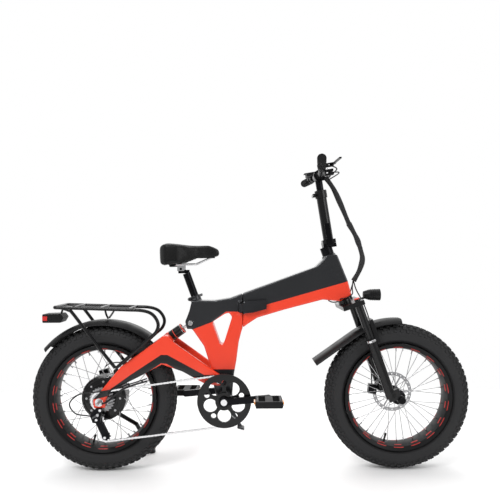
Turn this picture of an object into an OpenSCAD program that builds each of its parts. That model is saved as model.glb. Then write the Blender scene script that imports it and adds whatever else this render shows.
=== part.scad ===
// Electric folding bicycle with fat tyres, full suspension, rear rack and fenders.
// Frame: X forward, Y to the rider's left, Z up, origin on the ground midway between the axles.

/* [Overall] */
// Distance between the two axles
wheelbase = 1160; // [1000:5:1400]
// Outer radius of both tyres
tyre_r = 286; // [235:1:300]
// Tip to tip width of the handlebar
bar_w = 620; // [480:5:760]

/* [Wheels] */
// Width of the tyres
tyre_w = 98; // [80:1:100]
// Height of the tyre above the rim seat
tyre_h = 81; // [60:1:90]
// Wall of the tyre casing
tyre_wall = 6; // [4:0.5:10]
// Width of the rims
rim_w = 80; // [60:1:82]
// Radial depth of the rims
rim_h = 17; // [12:1:22]
// Spokes in each wheel
spoke_count = 36; // [24:4:40]
// Diameter of a spoke
spoke_d = 2.4; // [2:0.1:3.5]
// Radius of the brake discs
disc_r = 80; // [70:1:90]
// Radius of the hub motor shell
motor_r = 88; // [75:1:95]
// Diameter of both wheel axles
axle_d = 12; // [10:0.5:15]

/* [Frame] */
// Width of the frame shells
frame_w = 70; // [60:1:80]
// Angle of the head tube from vertical
head_tilt = 19; // [15:0.5:23]
// Length of the head tube
head_l = 188; // [160:1:200]
// Diameter of the fork steerer
steerer_d = 28.6; // [25.4:0.1:34.4]
// Diameter of the frame hinge pin
hinge_pin_d = 10; // [8:0.5:14]
// Diameter of the swingarm pivot and shock bolts
pivot_d = 12; // [8:0.5:15]
// Battery height, width and length
battery_h = 62; // [45:1:70]
battery_w = 50; // [40:1:56]
battery_l = 250; // [180:5:270]

/* [Fork] */
// Half distance between the fork legs
leg_y = 80; // [76:1:90]
// Diameter of the fork stanchions
stanchion_d = 30; // [26:0.5:34]
// Diameter of the fork lowers
lower_d = 38; // [36:0.5:42]

/* [Seat and bars] */
// Diameter of the seat post
post_d = 30.9; // [25:0.1:34]
// Diameter of the handlepost
hpost_d = 40; // [34:0.5:48]
// Diameter of the sliding bar post
bpost_d = 28.6; // [25:0.1:31.8]
// Diameter of the handlebar at its grips
bar_d = 22.2; // [19:0.1:25.4]
// Length of a grip
grip_l = 125; // [90:1:140]

/* [Drive] */
// Length of the crank arms
crank_l = 170; // [140:1:190]
// Pitch radius of the chainring
ring_r = 97; // [70:1:100]
// Pitch radius of the freewheel's working cog
cog_r = 32; // [25:1:50]
// Width of a pedal
pedal_w = 92; // [70:1:100]

/* [Fits] */
// Radial clearance of a running or sliding fit
run = 0.06; // [0.02:0.01:0.1]
// Gap between neighbouring pieces
gap = 0.4; // [0.3:0.1:1]

/* [Hidden] */
$fn = 48;
rear_x = -wheelbase / 2;
front_x = wheelbase / 2;
axle_z = tyre_r;
rim_r = tyre_r - tyre_h;
rim_in = rim_r - rim_h;
bb = [rear_x + 478, axle_z];
pivot = [rear_x + 455, axle_z + 74];
shock_top = [rear_x + 344, axle_z + 295];
shock_low = [rear_x + 250, axle_z + 229];
fold_x = rear_x + 550;
fold_y = frame_w / 2 + 9;
fold_lo = axle_z + 292;
fold_hi = axle_z + 386;
head_x = front_x - 267;
head_z = axle_z + 562;
fork_fwd = 36;
axle_fwd = 69.5;
axle_drop = 618;
crown_z = -head_l - 34;
hinge_x = head_x + 3;
hinge_z = head_z + 44;
hpost_tilt = 9;
seat_x = rear_x + 357;
seat_z = axle_z + 404;
seat_tilt = 20;
saddle_x = seat_x - 51;
saddle_z = seat_z + 104;
arm_in = tyre_w / 2 + 6;
arm_out = arm_in + 15;
drop_in = arm_in + 31;
drop_out = drop_in + 12;
chain_y = -80;
cog_y = -76.8;
crank_y = 96;
fender_r = tyre_r + 20;
fender_w = tyre_w + 6;
rack_y = 78;
rack_d = 14;
kick_tip = [150, -axle_z + 11, 180];
kick_top = [-8, -78, drop_out + 10];
latch_x = fold_x - 10;
harness_d = 24;
hose_d = 5;
motor_cable_d = 7;
elbow = 0.8;

// Points placed from the rear axle, the front axle or the fold line.
function R(x, z) = [rear_x + x, axle_z + z];
function F(x, z) = [front_x + x, axle_z + z];
function xyz(p, y) = [p[0], y, p[1]];
function arc(c, r, a0, a1, n = 8) = [for (i = [0:n]) let (a = a0 + (a1 - a0) * i / n)
    [c[0] + r * cos(a), c[1] + r * sin(a)]];

// A side view outline drawn in X and Z, as a slab between two Y values.
module slab(points, y0, y1) {
    translate([0, y1, 0]) rotate([90, 0, 0]) linear_extrude(y1 - y0) polygon(points);
}
// A cylinder along Y through a side view point.
module pin_y(p, d, y0, y1) {
    translate([p[0], y1, p[1]]) rotate([90, 0, 0]) cylinder(d = d, h = y1 - y0);
}
// A round bar between two points.
module rod(a, b, d) {
    v = b - a;
    translate(a) rotate([0, acos(v[2] / norm(v)), atan2(v[1], v[0])]) cylinder(d = d, h = norm(v));
}
// A bent tube through a list of points.
module tube(points, d) {
    for (i = [0:len(points) - 2]) rod(points[i], points[i + 1], d);
    for (i = [1:len(points) - 2]) translate(points[i]) rotate([20, 35, 50]) sphere(d = d + elbow);
}
module both_sides() {
    children();
    mirror([0, 1, 0]) children();
}
module at_head() { translate([head_x, 0, head_z]) rotate([0, -head_tilt, 0]) children(); }
module at_hpost() { translate([hinge_x, 0, hinge_z]) rotate([0, -hpost_tilt, 0]) children(); }
module at_seat() { translate([seat_x, 0, seat_z]) rotate([0, -seat_tilt, 0]) children(); }
module at_rear_axle() { translate([rear_x, 0, axle_z]) children(); }
module at_front_axle() { translate([front_x, 0, axle_z]) children(); }

/* ---- Rear frame ---- */
module rear_outline() {
    polygon(concat([R(349, 383), R(393, 383), R(438, 382), R(501, 392),
        [fold_x - gap / 2, axle_z + 410], [fold_x - gap / 2, axle_z + 274]],
        [R(545, 261), R(534, 219), R(524, 144), R(514, 90), R(508, 20)],
        arc(bb, 30, 20, -160, 10),
        [R(440, 20), R(428, 74), R(423, 118), R(397, 203), R(350, 271), R(330, 270), R(322, 300),
        R(330, 318), R(340, 345)]));
}
module window() {
    polygon(concat([R(430, 298)], arc(R(467, 216), 8, 200, 340, 6), [R(508, 318), R(496, 334),
        R(480, 330)]));
}
module rear_frame() color("orangered") difference() {
    union() {
        translate([0, frame_w / 2, 0]) rotate([90, 0, 0]) linear_extrude(frame_w) difference() {
            rear_outline();
            window();
        }
        pin_y(bb, 44, -50, 50);
        at_seat() translate([0, 0, -60]) cylinder(d = post_d + 12, h = 58);
        at_seat() cam_rod(post_d + 12, -10);
        for (k = [0, 1]) translate([fold_x, fold_y, fold_lo + k * 66]) knuckle(28, -1);
        rod(xyz(bb + [4, -20], 0), xyz(bb + [62, -126], 0), 16);
        for (k = [0, 1]) translate([latch_x - 6, -frame_w / 2 - 20, axle_z + 331.6 + 40.8 * k])
            cube([9.4, 26, 6]);
        translate([latch_x, -frame_w / 2 - 12, axle_z + 332]) cylinder(r = 3, h = 46);
        translate(xyz(bb + [62, -126], 0)) rotate([0, 14, 0]) cube([30, 44, 8], center = true);
    }
    at_seat() translate([0, 0, -229]) cylinder(r = post_d / 2 + run, h = 240);
    pin_y(bb, 24 + 2 * run, -60, 60);
    pin_y(pivot, pivot_d + 2 * run, -60, 60);
    pin_y(shock_top, pivot_d + 2 * run, -60, 60);
    translate([shock_top[0], 0, shock_top[1]]) rotate([0, -30, 0]) translate([-20, 0, 0])
        cube([88, 46, 56], center = true);
    translate([fold_x, fold_y, fold_lo - 2]) cylinder(r = hinge_pin_d / 2 + run, h = 98);
    translate([fold_x, fold_y, fold_lo + 28]) cylinder(r = hinge_pin_d / 2 + 8, h = 38);
}
// One leaf of a vertical hinge: a barrel with a strap that reaches the shell beside it.
module knuckle(h, side) {
    cylinder(d = hinge_pin_d + 12, h = h);
    translate([side > 0 ? 0 : -24, -fold_y + frame_w / 2 - 6, 0]) cube([24, fold_y - frame_w / 2 + 6, h]);
}
module frame_hinge_pin() color("silver") {
    translate([fold_x, fold_y, fold_lo - 1]) cylinder(d = hinge_pin_d, h = fold_hi - fold_lo + 2);
    translate([fold_x, fold_y, fold_hi + 1]) cylinder(d = hinge_pin_d + 5, h = 4);
}
module suspension_bolts() color("silver") {
    pin_y(pivot, pivot_d, -arm_out, arm_out);
    both_sides() pin_y(pivot, pivot_d + 8, arm_out, arm_out + 4);
    pin_y(shock_top, pivot_d, -frame_w / 2 - 1, frame_w / 2 + 1);
    both_sides() pin_y(shock_top, pivot_d + 8, frame_w / 2 + 1, frame_w / 2 + 4);
}
// A cam lever closed beside a collar, and the cross rod that it draws tight behind the collar.
module cam_lever(collar_d, z) {
    translate([-collar_d / 2 - 5, collar_d / 2 + 6, z - 5]) cylinder(d = 10, h = 10);
    translate([-collar_d / 2 - 5, collar_d / 2 + 3, z - 5]) cube([55, 5, 10]);
}
module cam_rod(collar_d, z) {
    translate([-collar_d / 2 - 5, collar_d / 2 + 0.4, z]) rotate([90, 0, 0]) cylinder(d = 8,
        h = collar_d + 4);
    translate([-collar_d / 2 - 10, -collar_d / 4, z - 7]) cube([16, collar_d / 2, 14]);
}
module seat_qr_lever() color("silver") at_seat() cam_lever(post_d + 12, -10);

/* ---- Seat ---- */
module seat_post() color("dimgray") {
    at_seat() difference() {
        translate([0, 0, -150]) cylinder(d = post_d, h = 242);
        translate([0, 0, -151]) cylinder(d = post_d - 6, h = 215);
    }
    translate([saddle_x - 12, -9, saddle_z - 18]) cube([44, 18, 14]);
    pin_y([saddle_x, saddle_z], 10, -25, 25);
}
module saddle_rails() color("silver") both_sides() {
    tube([[saddle_x - 45, 21, saddle_z + 44], [saddle_x - 30, 23, saddle_z + 17],
        [saddle_x + 60, 22, saddle_z + 18], [saddle_x + 124, 9, saddle_z + 46]], 8);
    difference() {
        translate([saddle_x - 14, 16 + gap, saddle_z - 8]) cube([28, 9, 28]);
        pin_y([saddle_x, saddle_z], 10 + 2 * run, 0, 40);
    }
}
function saddle_half(s) = [for (p = [[-84, 34], [-78, 68], [-54, 92], [-10, 91], [30, 66], [66, 38],
    [110, 24], [146, 19], [158, 12]]) [saddle_x + p[0] * s + 4 * (1 - s), p[1] * s]];
function saddle_plan(s) = let (h = saddle_half(s))
    concat(h, [for (i = [len(h) - 1:-1:0]) [h[i][0], -h[i][1]]]);
module saddle_base() color("black") translate([0, 0, saddle_z + 42]) {
    difference() {
        linear_extrude(10) polygon(saddle_plan(0.84));
        translate([0, 0, -1]) linear_extrude(4) polygon(saddle_plan(0.76));
    }
    both_sides() translate([saddle_x - 56, 40, -22]) cylinder(d = 26, h = 24);
}
saddle_side = [[-90, 24], [-90, 82], [-64, 98], [-14, 94], [45, 87], [118, 90], [148, 82], [162, 66],
    [162, 54], [140, 47], [60, 40], [6, 18], [-70, 12]];
module saddle_cushion() color("black") difference() {
    intersection() {
        translate([0, 0, saddle_z]) linear_extrude(110) polygon(saddle_plan(1));
        slab([for (p = saddle_side) [saddle_x, saddle_z] + p], -100, 100);
    }
    translate([0, 0, saddle_z - 10]) linear_extrude(62.3) polygon(saddle_plan(0.85));
}

/* ---- Shock: a shaft hung from the frame, and a can on the swingarm ---- */
shock_v = shock_low - shock_top;
shock_a = atan2(shock_v[0], shock_v[1]);
module at_shock() { translate(xyz(shock_top, 0)) rotate([0, shock_a, 0]) children(); }
module shock_shaft() color("silver") at_shock() difference() {
    union() {
        rotate([90, 0, 0]) translate([0, 0, -13]) cylinder(d = pivot_d + 12, h = 26);
        cylinder(d = 12, h = 60);
        translate([0, 0, 54]) cylinder(d = 26, h = 6);
    }
    rotate([90, 0, 0]) translate([0, 0, -14]) cylinder(r = pivot_d / 2 + run, h = 28);
}
module shock_can() color("black") at_shock() difference() {
    union() {
        translate([0, 0, 42]) cylinder(d = 42, h = 56);
        translate([-11, -13, 97]) cube([22, 26, norm(shock_v) - 97]);
        translate([0, 0, norm(shock_v)]) rotate([90, 0, 0]) translate([0, 0, -13])
            cylinder(d = pivot_d + 12, h = 26);
    }
    translate([0, 0, 41]) cylinder(r = 6 + run, h = 12);
    translate([0, 0, 52]) cylinder(r = 13 + gap, h = 40);
    translate([0, 0, norm(shock_v)]) rotate([90, 0, 0]) translate([0, 0, -14])
        cylinder(r = pivot_d / 2 + 1.5, h = 28);
}

/* ---- Swingarm ---- */
module arm_outline() {
    polygon([R(228, 238), R(240, 250), R(262, 248), R(282, 224), R(420, 124), R(466, 92), R(476, 72),
        R(462, 56), R(440, 56), R(395, 66), R(316, 110), R(236, 138), R(150, 92), R(72, 54), R(40, 40),
        R(24, 8), R(22, -22), R(-22, -22), R(-24, 12), R(-8, 26), R(80, 134)]);
}
module arm_plan() {
    polygon([[rear_x + 482, -arm_in + 12], [rear_x + 300, -arm_in], [rear_x + 110, -arm_in],
        [rear_x + 50, -drop_in], [rear_x - 30, -drop_in], [rear_x - 30, -drop_out],
        [rear_x + 40, -drop_out], [rear_x + 110, -arm_out], [rear_x + 482, -arm_out]]);
}
module swingarm() color("orangered") {
    pin_y(shock_low, pivot_d, -26, 26);
    arm_body();
}
module arm_body() difference() {
    union() {
        both_sides() intersection() {
            slab_of(drop_out + 1) arm_outline();
            linear_extrude(axle_z + 400) arm_plan();
        }
        slab([R(228, 236), R(240, 250), R(262, 248), R(282, 224), R(276, 218), R(228, 226)],
            -arm_out, arm_out);
        pin_y(pivot, pivot_d + 18, -arm_out, -frame_w / 2 - gap);
        pin_y(pivot, pivot_d + 18, frame_w / 2 + gap, arm_out);
        slab([R(-20, -20), R(20, -20), R(6, -92), R(-22, -92)], drop_in, drop_out);
    }
    pin_y(pivot, pivot_d + 2 * run, -99, 99);
    translate(xyz(shock_low, 0)) rotate([0, shock_a, 0]) translate([0, 0, -14])
        cube([64, 46, 64], center = true);
    pin_y([rear_x, axle_z], axle_d, -130, 130);
    pin_y([rear_x, axle_z] + [kick_top[0], kick_top[1]], 8 + 2 * run, drop_in - 1, drop_out + 1);
}
module slab_of(half) { translate([0, half, 0]) rotate([90, 0, 0]) linear_extrude(2 * half) children(); }
module rear_axle() color("silver") at_rear_axle() {
    rotate([90, 0, 0]) translate([0, 0, -130]) cylinder(d = axle_d, h = 260);
    both_sides() rotate([90, 0, 0]) translate([0, 0, -drop_out - 12]) difference() {
        cylinder(d = 24, h = 12, $fn = 6);
        translate([0, 0, -1]) cylinder(d = axle_d - 1, h = 14);
    }
    translate([0, -drop_in + 2, 0]) rotate([90, 0, 0]) cylinder(d = 24, h = 1);
}
rack_leg = [rear_x + 60, axle_z + 126];
module rear_rack() color("black") {
    both_sides() {
        tube([[rear_x - 178, 0, axle_z + 362], [rear_x - 178, rack_y - 10, axle_z + 362],
            [rear_x - 168, rack_y, axle_z + 362], [rear_x + 150, rack_y, axle_z + 350],
            [rear_x + 205, rack_y, axle_z + 335], [rear_x + 225, rack_y, axle_z + 290],
            [rear_x + 190, rack_y, axle_z + 245], xyz(rack_leg, rack_y)], rack_d);
        tube([[rear_x - 150, rack_y, axle_z + 361], [rear_x - 110, rack_y, axle_z + 346],
            xyz(rack_leg, rack_y)], rack_d);
        rod([rear_x + 20, rack_y, axle_z + 354], [rear_x + 12, 3, axle_z + fender_r + 7], 8);
        translate(xyz(rack_leg + [2, -12], rack_y)) rotate([90, 0, 0]) cylinder(d = 22, h = 8,
            center = true);
    }
    for (x = [-100, 0, 110]) rod([rear_x + x, -rack_y, axle_z + 359 - x / 26],
        [rear_x + x, rack_y, axle_z + 359 - x / 26], 9);
    rod([rear_x - 130, 0, axle_z + 360], [rear_x + 120, 0, axle_z + 350], 9);
    rod([rear_x - 166, 0, axle_z + 362], [rear_x - 175, 0, axle_z + 334], 8);
}
module fender_profile() {
    difference() {
        translate([fender_r - 22, 0]) circle_segment(fender_w / 2, 24);
        translate([fender_r - 24.5, 0]) circle_segment(fender_w / 2 - 2, 24);
    }
}
// A shallow arch of a given half width and rise, opening towards the wheel.
module circle_segment(half, rise) {
    polygon([for (i = [-8:8]) let (t = i / 8) [rise * (1 - t * t * t * t * 0.75), half * t],
        [-1, half], [-1, -half]]);
}
module fender(a0, a1) {
    rotate([90, 0, 0]) rotate([0, 0, a0]) rotate_extrude(angle = a1 - a0) intersection() {
        fender_profile();
        translate([fender_r - 18, -fender_w]) square([40, 2 * fender_w]);
    }
}
module rear_fender() color("black") at_rear_axle() {
    fender(52, 140);
}
module tail_light() color("red") {
    slab([R(-240, 298), R(-240, 332), R(-168, 334), R(-156, 318), R(-168, 298)], -34, 34);
}
module kickstand() color("black") at_rear_axle() {
    tube([[kick_top[0], kick_top[2], kick_top[1]], [kick_top[0] + 20, kick_top[2] + 3, kick_top[1] - 14],
        [95, 132, -150], [kick_tip[0], kick_tip[2], kick_tip[1]]], 17);
    pin_y(kick_top, 26, drop_out + gap, drop_out + 18);
    pin_y(kick_top, 8, drop_in, drop_out + 4);
    translate([kick_tip[0], kick_tip[2], -axle_z]) cylinder(d = 34, h = 14);
}
module rear_caliper() color("dimgray") at_rear_axle() {
    rotate([0, -105, 0]) caliper(disc_y, drop_in);
}
// A caliper that straddles the disc's edge and reaches out to its mount.
module caliper(y, mount_y) translate([disc_r - 16, y, -18]) difference() {
    translate([0, -9, 0]) cube([34, mount_y - y + 9, 38]);
    translate([-1, -2.6, -1]) cube([24, 3.4, 40]);
}

/* ---- Derailleur and chain ---- */
guide = R(-10, -66);
tens = R(22, -134);
module derailleur() color("dimgray") {
    difference() {
        slab([R(-12, -22), R(12, -22), R(10, -40), guide + [14, -12], guide + [-14, -12], R(-34, -50)],
            chain_y - 22, chain_y - 10);
        pin_y(guide, 8 + 2 * run, -120, -60);
    }
}
module derailleur_cage() color("black") {
    for (s = [-1, 1]) difference() {
        slab_between(guide, tens, 13, chain_y + s * 6.2 - 1, chain_y + s * 6.2 + 1);
        if (s > 0) pin_y(guide, 6, chain_y, chain_y + 20);
    }
    pin_y(guide, 6, chain_y - 7, chain_y + 7);
    pin_y(tens, 6, chain_y - 7, chain_y + 7);
    pin_y(guide, 8, chain_y - 23, chain_y - 7);
}
module slab_between(a, b, r, y0, y1) {
    v = b - a;
    n = [-v[1], v[0]] / norm(v) * r;
    slab([a + n, b + n, b - n, a - n], y0, y1);
    pin_y(a, 2 * r, y0, y1);
    pin_y(b, 2 * r, y0, y1);
}
module pulley(p) {
    difference() {
        pin_y(p, 40, chain_y - 2, chain_y + 2);
        pin_y(p, 6 + 2 * run, chain_y - 3, chain_y + 3);
    }
}
module guide_pulley() color("black") pulley(guide);
module tension_pulley() color("black") pulley(tens);
// A chain run between two points, as a bar with the chain's height and width.
module chain_run(a, b, y0, y1) {
    v = b - a;
    n = [-v[1], v[0]] / norm(v) * 4;
    intersection() {
        slab([a + n, b + n, b - n, a - n], min(y0, y1) - 4, max(y0, y1) + 4);
        linear_extrude(2 * axle_z + 200) polygon([[a[0], y0 - 3.4], [b[0], y1 - 3.4], [b[0], y1 + 3.4],
            [a[0], y0 + 3.4]]);
    }
}
module chain_wrap(c, r, a0, a1, y) {
    translate(xyz(c, y)) rotate([90, 0, 0]) rotate([0, 0, a0]) rotate_extrude(angle = a1 - a0)
        translate([r - 4, -3.4]) square([8, 6.8]);
}
tilt_top = atan2(cog_r - ring_r, 478);
module chain() color("silver") {
    chain_run(R(0, 0) + (cog_r + 2.6) * [sin(tilt_top), cos(tilt_top)], bb + (ring_r + 2) * [-0.13, 0.99],
        cog_y, chain_y);
    chain_wrap(bb, ring_r + 2, -97, 98, chain_y);
    chain_run(tens + [3, -24], bb + (ring_r + 2) * [-0.14, -0.99], chain_y, chain_y);
}

/* ---- Wheels ---- */
function tyre_side(f, w) = [for (i = [0:14]) let (a = 180 * i / 14 , c = cos(a), s = sin(a))
    [rim_r + gap + (tyre_h - gap) * f * pow(s, 0.55), w / 1.786 * sign(c) * pow(abs(c), 0.62)
        * (1 - 0.26 * pow(1 - s, 3))]];
module tyre() rotate([90, 0, 0]) rotate_extrude($fn = 96) difference() {
    polygon(tyre_side(1, tyre_w));
    translate([-0.01, 0]) polygon(tyre_side(1 - tyre_wall / tyre_h * 1.4, tyre_w - 2 * tyre_wall));
}
module rim() rotate([90, 0, 0]) rotate_extrude($fn = 96) difference() {
    polygon([[rim_in, -14], [rim_in, 14], [rim_in + 6, rim_w / 2], [rim_r + 5, rim_w / 2 + 7],
        [rim_r + 5, rim_w / 2 + 4.2], [rim_r, rim_w / 2 + 4.2], [rim_r, -rim_w / 2 - 4.2],
        [rim_r + 5, -rim_w / 2 - 4.2], [rim_r + 5, -rim_w / 2 - 7], [rim_in + 6, -rim_w / 2]]);
    polygon([[rim_in + 4, -12], [rim_in + 4, 12], [rim_r - 4, rim_w / 2 - 10], [rim_r - 4,
        -rim_w / 2 + 10]]);
}
// Spokes alternate from side to side and lean both ways around the hub.
module spokes(hub_r, flange_y) for (i = [0:spoke_count - 1]) {
    a = 360 * i / spoke_count;
    side = i % 2 == 0 ? 1 : -1;
    lean = i % 4 < 2 ? 30 : -30;
    inset = lean > 0 ? 3 : -3;
    rod([hub_r * cos(a + lean), side * (flange_y + inset), hub_r * sin(a + lean)],
        [(rim_in + 2) * cos(a), side * 8, (rim_in + 2) * sin(a)], spoke_d);
}
module rotor() rotate([90, 0, 0]) difference() {
    union() {
        difference() {
            cylinder(r = disc_r, h = 1.8);
            translate([0, 0, -1]) cylinder(r = disc_r - 14, h = 4);
            for (k = [0:23]) rotate(15 * k) translate([disc_r - 7, 0, -1]) cylinder(d = 5, h = 4, $fn = 16);
        }
        for (k = [0:5]) rotate(60 * k) translate([20, -3, 0]) cube([disc_r - 32, 6, 1.8]);
        cylinder(r = 26, h = 1.8);
    }
    translate([0, 0, -1]) cylinder(r = 15, h = 4);
}
disc_y = drop_in - 17;
front_disc_y = leg_y - lower_d / 2 - 2;
module rear_tyre() color("#222222") at_rear_axle() tyre();
module rear_rim() color("black") at_rear_axle() rim();
module rear_spokes() color("silver") at_rear_axle() spokes(motor_r - 6, 30);
module hub_motor() color("black") at_rear_axle() rotate([90, 0, 0]) difference() {
    rotate_extrude() polygon([[0, -disc_y + 1.8], [25, -disc_y + 1.8], [25, -38], [motor_r - 12,
        -35], [motor_r, -28], [motor_r, 28],
        [motor_r - 12, 35], [24, 38], [22, 51], [14, 51], [14, 80], [0, 80]]);
    translate([0, 0, -90]) cylinder(r = axle_d / 2 + run, h = 180);
}
module rear_disc() color("silver") at_rear_axle() translate([0, disc_y, 0]) rotor();
module freewheel() color("silver") at_rear_axle() rotate([90, 0, 0]) difference() {
    union() for (k = [0:6]) translate([0, 0, 52 + 4.2 * k]) cylinder(r = 50 - 4 * k, h = 4.2);
    translate([0, 0, 50]) cylinder(r = 24 + gap, h = 18);
    translate([0, 0, 50]) cylinder(r = 14 + run, h = 40);
}
module front_tyre() color("#222222") at_front_axle() tyre();
module front_rim() color("black") at_front_axle() rim();
module front_spokes() color("silver") at_front_axle() spokes(26, 34);
module front_hub() color("black") at_front_axle() rotate([90, 0, 0]) difference() {
    rotate_extrude() polygon([[0, -front_disc_y + 1.8], [24, -front_disc_y + 1.8], [24, -50], [18,
        -42], [29, -37],
        [29, -31], [18, -27], [18, 27], [29, 31],
        [29, 37], [18, 42], [15, 56], [0, 56]]);
    translate([0, 0, -70]) cylinder(r = axle_d / 2 + run, h = 140);
}
module front_disc() color("silver") at_front_axle() translate([0, front_disc_y, 0]) rotor();
module front_axle() color("silver") at_front_axle() {
    rotate([90, 0, 0]) translate([0, 0, -leg_y - 22]) cylinder(d = axle_d, h = 2 * leg_y + 44);
    both_sides() rotate([90, 0, 0]) translate([0, 0, leg_y + 10 + gap]) cylinder(d = 24, h = 8, $fn = 6);
}

/* ---- Cranks and pedals ---- */
crank_a = 5;
crank_v = [cos(crank_a), sin(crank_a)];
module arm_of(dir, y0, y1) {
    slab_between(bb, bb + dir * crank_l * crank_v, 13, y0, y1);
    pin_y(bb, 40, y0, y1);
}
module right_crank() color("black") {
    arm_of(1, -crank_y - 14, -crank_y);
    pin_y(bb, 24, -crank_y, crank_y + 14);
    pin_y(bb + crank_l * crank_v, 14, -crank_y - 14 - pedal_w, -crank_y - 14);
}
module chainring() color("black") translate(xyz(bb, 0)) rotate([90, 0, 0]) difference() {
    union() {
        translate([0, 0, -chain_y - 2]) cylinder(r = ring_r - 2 - gap, h = 4, $fn = 96);
        translate([0, 0, -chain_y + 4.6]) cylinder(r = ring_r + 7, h = 3, $fn = 96);
        translate([0, 0, -chain_y + 1]) cylinder(r = ring_r - 8, h = 5);
        translate([0, 0, -chain_y - 2]) cylinder(r = 34, h = crank_y + chain_y + 1.8);
    }
    for (k = [0:4]) rotate(72 * k + 54) {
        translate([56, 0, -chain_y - 5]) cylinder(d = 52, h = 20);
        rotate(36) translate([70, 0, -chain_y - 5]) cylinder(d = 20, h = 20);
    }
    translate([0, 0, -chain_y - 5]) cylinder(r = 12 + run, h = 40);
}
module left_crank() color("black") difference() {
    union() {
        arm_of(-1, crank_y, crank_y + 14);
        pin_y(bb - crank_l * crank_v, 14, crank_y + 14, crank_y + 14 + pedal_w);
    }
    pin_y(bb, 24, 0, crank_y + 15);
}
module pedal(p, y0, y1) difference() {
    slab([p + [-48, -12], p + [-52, 0], p + [-48, 12], p + [48, 12], p + [52, 0], p + [48, -12]], y0, y1);
    slab([p + [-38, -20], p + [-38, 20], p + [-14, 20], p + [-14, -20]], y0 + 10, y1 - 10);
    slab([p + [14, -20], p + [14, 20], p + [38, 20], p + [38, -20]], y0 + 10, y1 - 10);
    pin_y(p, 14 + 2 * run, y0 - 9, y1 - 6);
}
module right_pedal() color("black") mirror([0, 1, 0])
    pedal(bb + crank_l * crank_v, crank_y + 15, crank_y + 15 + pedal_w + 7);
module left_pedal() color("black") pedal(bb - crank_l * crank_v, crank_y + 15, crank_y + 22 + pedal_w);

/* ---- Front frame ---- */
module front_outline() polygon([[fold_x + gap / 2, axle_z + 410], F(-320, 514), F(-283, 550), F(-285, 562),
    F(-236, 562), F(-194, 456), F(-179, 398), F(-226, 377), F(-294, 384), [fold_x + 164, axle_z + 345],
    [fold_x + 58, axle_z + 314], [fold_x + 16, axle_z + 287], [fold_x + gap / 2, axle_z + 274]]);
batt_tilt = 18;
module at_battery() { translate([fold_x, 0, axle_z + 343]) rotate([0, -batt_tilt, 0]) children(); }
module front_frame() color("orangered") difference() {
    union() {
        slab_of(frame_w / 2) front_outline();
        at_head() translate([0, 0, -head_l]) cylinder(d = 56, h = head_l);
        translate([fold_x, fold_y, fold_lo + 28 + gap]) knuckle(38 - 2 * gap, 1);
        slab([[fold_x + 4, axle_z + 338], [fold_x + 4, axle_z + 372], [fold_x + 20, axle_z + 372],
            [fold_x + 20, axle_z + 338]], -frame_w / 2 - 6, -frame_w / 2 + 2);
    }
    at_battery() translate([12, -battery_w / 2 - 1, -battery_h / 2 - 1])
        cube([battery_l + 2, battery_w + 2, battery_h + 2]);
    at_battery() translate([-30, -battery_w / 2 - 1, -battery_h / 2 - 1])
        cube([60, battery_w + 2, battery_h + 2]);
    at_head() {
        translate([-60, -60, 0]) cube([120, 120, 40]);
        translate([0, 0, -head_l - 1]) cylinder(r = steerer_d / 2 + run, h = head_l + 2);
        translate([0, 0, -head_l + 20]) cylinder(r = steerer_d / 2 + 3, h = head_l - 40);
    }
    translate([fold_x, fold_y, fold_lo]) cylinder(r = hinge_pin_d / 2 + run, h = 98);
    for (k = [0, 1]) translate([fold_x, fold_y,
        fold_lo + k * 66 - 1]) cylinder(d = hinge_pin_d + 14, h = 30);
}
module battery_pack() color("dimgray") at_battery() translate([13, -battery_w / 2, -battery_h / 2])
    cube([battery_l, battery_w, battery_h]);
module frame_latch() color("black") {
    difference() {
        translate([latch_x, -frame_w / 2 - 12, axle_z + 338]) cylinder(d = 16, h = 34);
        translate([latch_x, -frame_w / 2 - 12, axle_z + 337]) cylinder(r = 3 + run, h = 36);
    }
    slab([[latch_x + 4, axle_z + 338.4], [latch_x + 4, axle_z + 371.6], [latch_x + 16, axle_z + 371.6],
        [latch_x + 22, axle_z + 380], [latch_x + 104, axle_z + 386], [latch_x + 104, axle_z + 350],
        [latch_x + 50, axle_z + 336], [latch_x + 22, axle_z + 334], [latch_x + 16, axle_z + 338.4]],
        -frame_w / 2 - 18, -frame_w / 2 - 8);
}

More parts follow.
